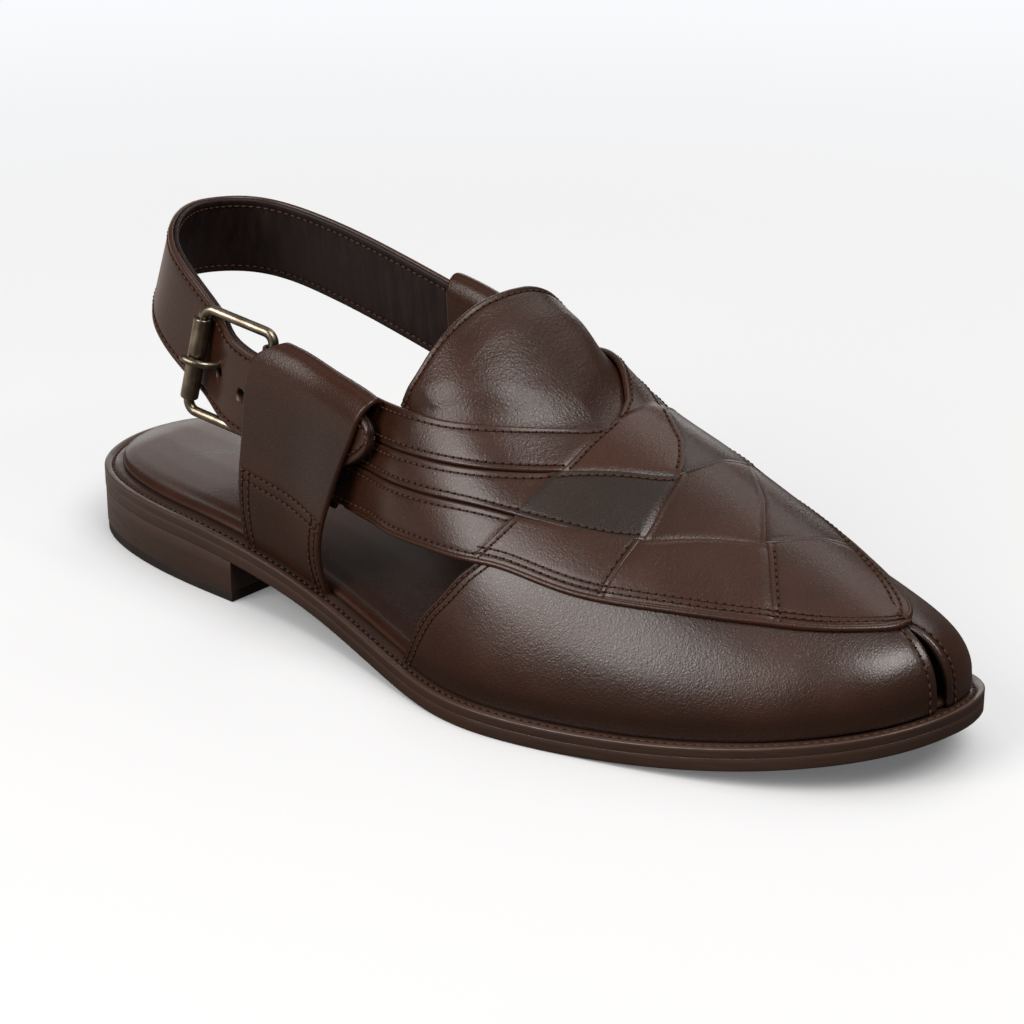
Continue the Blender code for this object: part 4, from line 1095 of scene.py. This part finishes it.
# ---- buckle --------------------------------------------------------------------------------------
# A rounded rectangle of bronze-coloured wire with a rolled tube on its free bar and a bent prong;
# the finish is antiqued in darker and brighter patches, with scuffs in its roughness.
BUCKLE_CENTRE = np.array([82.6, 34.9, 67.8])
BUCKLE_TURNS = (13.0, 12.0, 3.0)    # degrees: roller end out, roller end up, top inwards
HALF_LONG, HALF_HIGH, CORNER, WIRE = 11.8, 15.7, 3.2, 1.5
TUBE_HALF, TUBE_BORE, TUBE_LIP, TUBE_SIDES = 12.4, 1.75, .5, 40
PRONG, PRONG_EYE = 1.1, 2.75
antique_bronze, tree, shader, where = finish_of("antique_bronze", Metallic=1.0, Roughness=.36)
worn = use(tree, wear, {"Coordinates": where, "Patch Scale": 180.0})
brushed = noise(tree, stretched(tree, where, (1, 1, .1)), 1800.0)
dress(shader, Base_Color=blend_colour(tree, worn["Patches"], (.34, .29, .22), (.19, .16, .12)),
      Roughness=ramp(tree, worn["Scuffs"], 0, 1, .30, .5), Normal=bumped(tree, brushed, .3, .0001))
yaw, pitch, lean = np.radians(BUCKLE_TURNS)
e1 = np.array([-np.cos(yaw) * np.cos(pitch), np.sin(yaw) * np.cos(pitch), np.sin(pitch)])
e3 = np.cross(e1, (0, 0, 1))
e3 = e3 / np.linalg.norm(e3) * np.sign(e3[1])
e2 = np.cross(e3, e1) * np.sign(np.cross(e3, e1)[2])
e2, e3 = e2 * np.cos(lean) - e3 * np.sin(lean), e3 * np.cos(lean) + e2 * np.sin(lean)


def in_buckle(points):
    """Points in the buckle's own frame: x towards the roller, y up the bars, z out from the foot."""
    p = np.asarray(points, float)
    return BUCKLE_CENTRE + p[:, :1] * e1 + p[:, 1:2] * e2 + p[:, 2:3] * e3


loop = []
for cx, cy, start in ((1, 1, 90), (1, -1, 0), (-1, -1, -90), (-1, 1, -180)):
    for angle in np.radians(np.linspace(start, start - 90, 12)):
        x, y = cx * (HALF_LONG - CORNER), cy * (HALF_HIGH - CORNER)
        loop.append((x + CORNER * np.cos(angle), y + CORNER * np.sin(angle), 0))
round_bar("buckle_wire_frame", in_buckle(loop), WIRE, antique_bronze, "buckle_frame", e3, 20, closed=True)
turn = np.radians(np.linspace(0, 90, 5))
end = np.stack([TUBE_HALF - TUBE_LIP * (1 - np.sin(turn)), 2.1 + TUBE_LIP * np.cos(turn)], -1)
wall = np.vstack([end[::-1] * [-1, 1], end, [(TUBE_HALF - .1, TUBE_BORE), (.1 - TUBE_HALF, TUBE_BORE)]])
angle = np.linspace(0, 2 * np.pi, TUBE_SIDES + 1)[:-1]
points = [(HALF_LONG + r * np.cos(t), y, r * np.sin(t)) for y, r in wall for t in angle]
faces = ring_faces(len(wall), TUBE_SIDES, True)
roller = new_piece("buckle_rolled_tube", in_buckle(points), faces, antique_bronze)
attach(roller, "root")
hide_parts("buckle_roller")
eye = np.radians(np.linspace(128, 262, 18))
eye = np.stack([-HALF_LONG + PRONG_EYE * np.cos(eye), 0 * eye, PRONG_EYE * np.sin(eye)], -1)
reach_over = spline(range(8), [(-9, 0, -2.9), (-5, 0, -3.1), (-1.5, 0, -3.6), (2.2, 0, -3.0),
                               (5.2, 0, -.2), (7.8, 0, 2.8), (11.4, 0, 3.9), (15, 0, 3.3)])
prong = np.vstack([eye, reach_over(np.linspace(0, 7, 50))])
prong_radius = np.full(len(prong), PRONG)
prong_radius[-3:] = 1.0, .75, .35
round_bar("buckle_bent_prong", in_buckle(prong), prong_radius, antique_bronze, "buckle_prong", e2)

# ---- chape ---------------------------------------------------------------------------------------
# The thin leather loop round the buckle's pivot bar; both ends are caught inside the lateral tab.
CHAPE = 1.0
wrap = WIRE + .35 + CHAPE / 2
angle = np.radians(np.linspace(70, -70, 9))
turned = np.stack([-HALF_LONG + wrap * np.cos(angle), wrap * np.sin(angle)], -1)
profile = np.vstack([np.array([(-29, 6.3), (-24, 5.1), (-19, 3.9), (-15, 2.9)]), turned,
                     np.array([(-14.5, -1.6), (-17, .8), (-19.5, 2.7), (-24, 3.8), (-29, 5.0)])])
chape_line = spline(np.linspace(0, 1, len(profile)), profile)
chape_leather = leather("chape_leather", 1700.0, .1, .15)
for half, way in ((1, -1), (2, 1)):
    def chape_on(a, b, way=way):
        """Half of the loop, from its lower end round the bar to its upper one; a slot clears the prong."""
        xz = chape_line(a)
        near = .05 + 1.5 * smooth((xz[..., 0] + 18) / 1.5)
        p = np.stack([xz[..., 0], way * (near + (12 - near) * b), xz[..., 1]], -1)
        return in_buckle(p.reshape(-1, 3)).reshape(p.shape)

    piece, _ = panel(f"chape_loop_{half}", chape_on, 90, 34, CHAPE, chape_leather,
                     core=tuple(BUCKLE_CENTRE - HALF_LONG * e1), rounding=.45)
    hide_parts("buckle_chape")

# ---- floor, light and camera ---------------------------------------------------------------------
# A pale studio floor that fades into its backdrop, dimmer to the shoe than to the camera; near the shoe
# an occlusion node dims its glow as a painted contact shadow. The key softbox stands in front of the toe,
# a second on the lateral side by the heel, and three weak ones far behind, on the medial side and overhead.
FADE = (.25, .95)    # metres from the shoe between which the floor fades
floor_mesh = bpy.data.meshes.new("studio_floor")
floor_mesh.from_pydata([(-9, -9, 0), (9, -9, 0), (9, 9, 0), (-9, 9, 0)], [], [(0, 1, 2, 3)])
floor = bpy.data.objects.new("studio_floor", floor_mesh)
bpy.context.collection.objects.link(floor)
paper, tree, shader, where = finish_of("pale_paper", Roughness=.95, Specular_IOR_Level=.05)
far_off = node(tree, "ShaderNodeVectorMath", {0: where}, operation="LENGTH").outputs["Value"]
heelward = node(tree, "ShaderNodeVectorMath", {0: where, 1: (-.17, .98, 0)}, operation="DOT_PRODUCT")
seen = node(tree, "ShaderNodeLightPath").outputs["Is Camera Ray"]
# painted contact shadow: occlusion near the shoe dims the floor's glow
painted_contact_shadow = node(tree, "ShaderNodeAmbientOcclusion", {"Distance": .05}, samples=8).outputs["AO"]
near_paper = blend_colour(tree, ramp(tree, far_off, *FADE), (.48, .48, .48), (.0, .0, .0))
glow = math(tree, "MULTIPLY", ramp(tree, far_off, *FADE, .52, 1.02), ramp(tree, painted_contact_shadow, .1, .9, .25, 1.0))
bounce = ramp(tree, heelward.outputs["Value"], .0, .42, .0, .55)
given = node(tree, "ShaderNodeMix", {0: seen, 2: bounce, 3: glow}, data_type="FLOAT").outputs[0]
dress(shader, Base_Color=blend_colour(tree, seen, (.09, .078, .07), near_paper), Emission_Strength=given,
      Emission_Color=blend_colour(tree, seen, (1.0, .88, .81), (.915, .932, .955)))
floor.data.materials.append(paper)

world = bpy.data.worlds.new("studio_air")
bpy.context.scene.world = world
world.use_nodes = True
world.node_tree.nodes["Background"].inputs["Color"].default_value = (1, .95, .92, 1)
world.node_tree.nodes["Background"].inputs["Strength"].default_value = .09


def softbox(name, turn, rise, away, wide, high, power):
    """A rectangular softbox facing the shoe from a compass direction and a height in degrees."""
    turn, rise = np.radians((turn, rise))
    place = Vector((np.cos(turn) * np.cos(rise), np.sin(turn) * np.cos(rise), np.sin(rise))) * away
    light = bpy.data.lights.new(name, "AREA")
    light.shape, light.size, light.size_y, light.energy = "RECTANGLE", wide, high, power
    light.color = (1.0, .965, .935)
    obj = bpy.data.objects.new(name, light)
    obj.location = place + Vector((0, 0, .05))
    obj.rotation_euler = (-place).to_track_quat("-Z", "Y").to_euler()
    bpy.context.collection.objects.link(obj)


softbox("key_softbox", -98, 54, 1.7, 1.0, .8, 18.0)
softbox("side_softbox", 167, 31, 1.7, 1.0, 1.1, 22.0)
softbox("backdrop_softbox", 42, 11, 1.7, 1.5, .5, 4.0)
softbox("medial_softbox", 2, 44, 1.7, .9, .5, 2.3)
softbox("overhead_softbox", 40, 78, 1.8, 1.8, 1.4, 2.3)

camera = bpy.data.cameras.new("camera")
camera.lens, camera.sensor_width = 98.0, 36.0
camera.clip_start, camera.clip_end = .01, 40.0
eye_point, aim = Vector((-.5370, -.4773, .3259)), Vector((.006, -.004, .034))
viewer = bpy.data.objects.new("camera", camera)
viewer.location = eye_point
viewer.rotation_euler = (aim - eye_point).to_track_quat("-Z", "Y").to_euler()
bpy.context.collection.objects.link(viewer)
bpy.context.scene.camera = viewer
bpy.context.scene.view_settings.view_transform = "Standard"
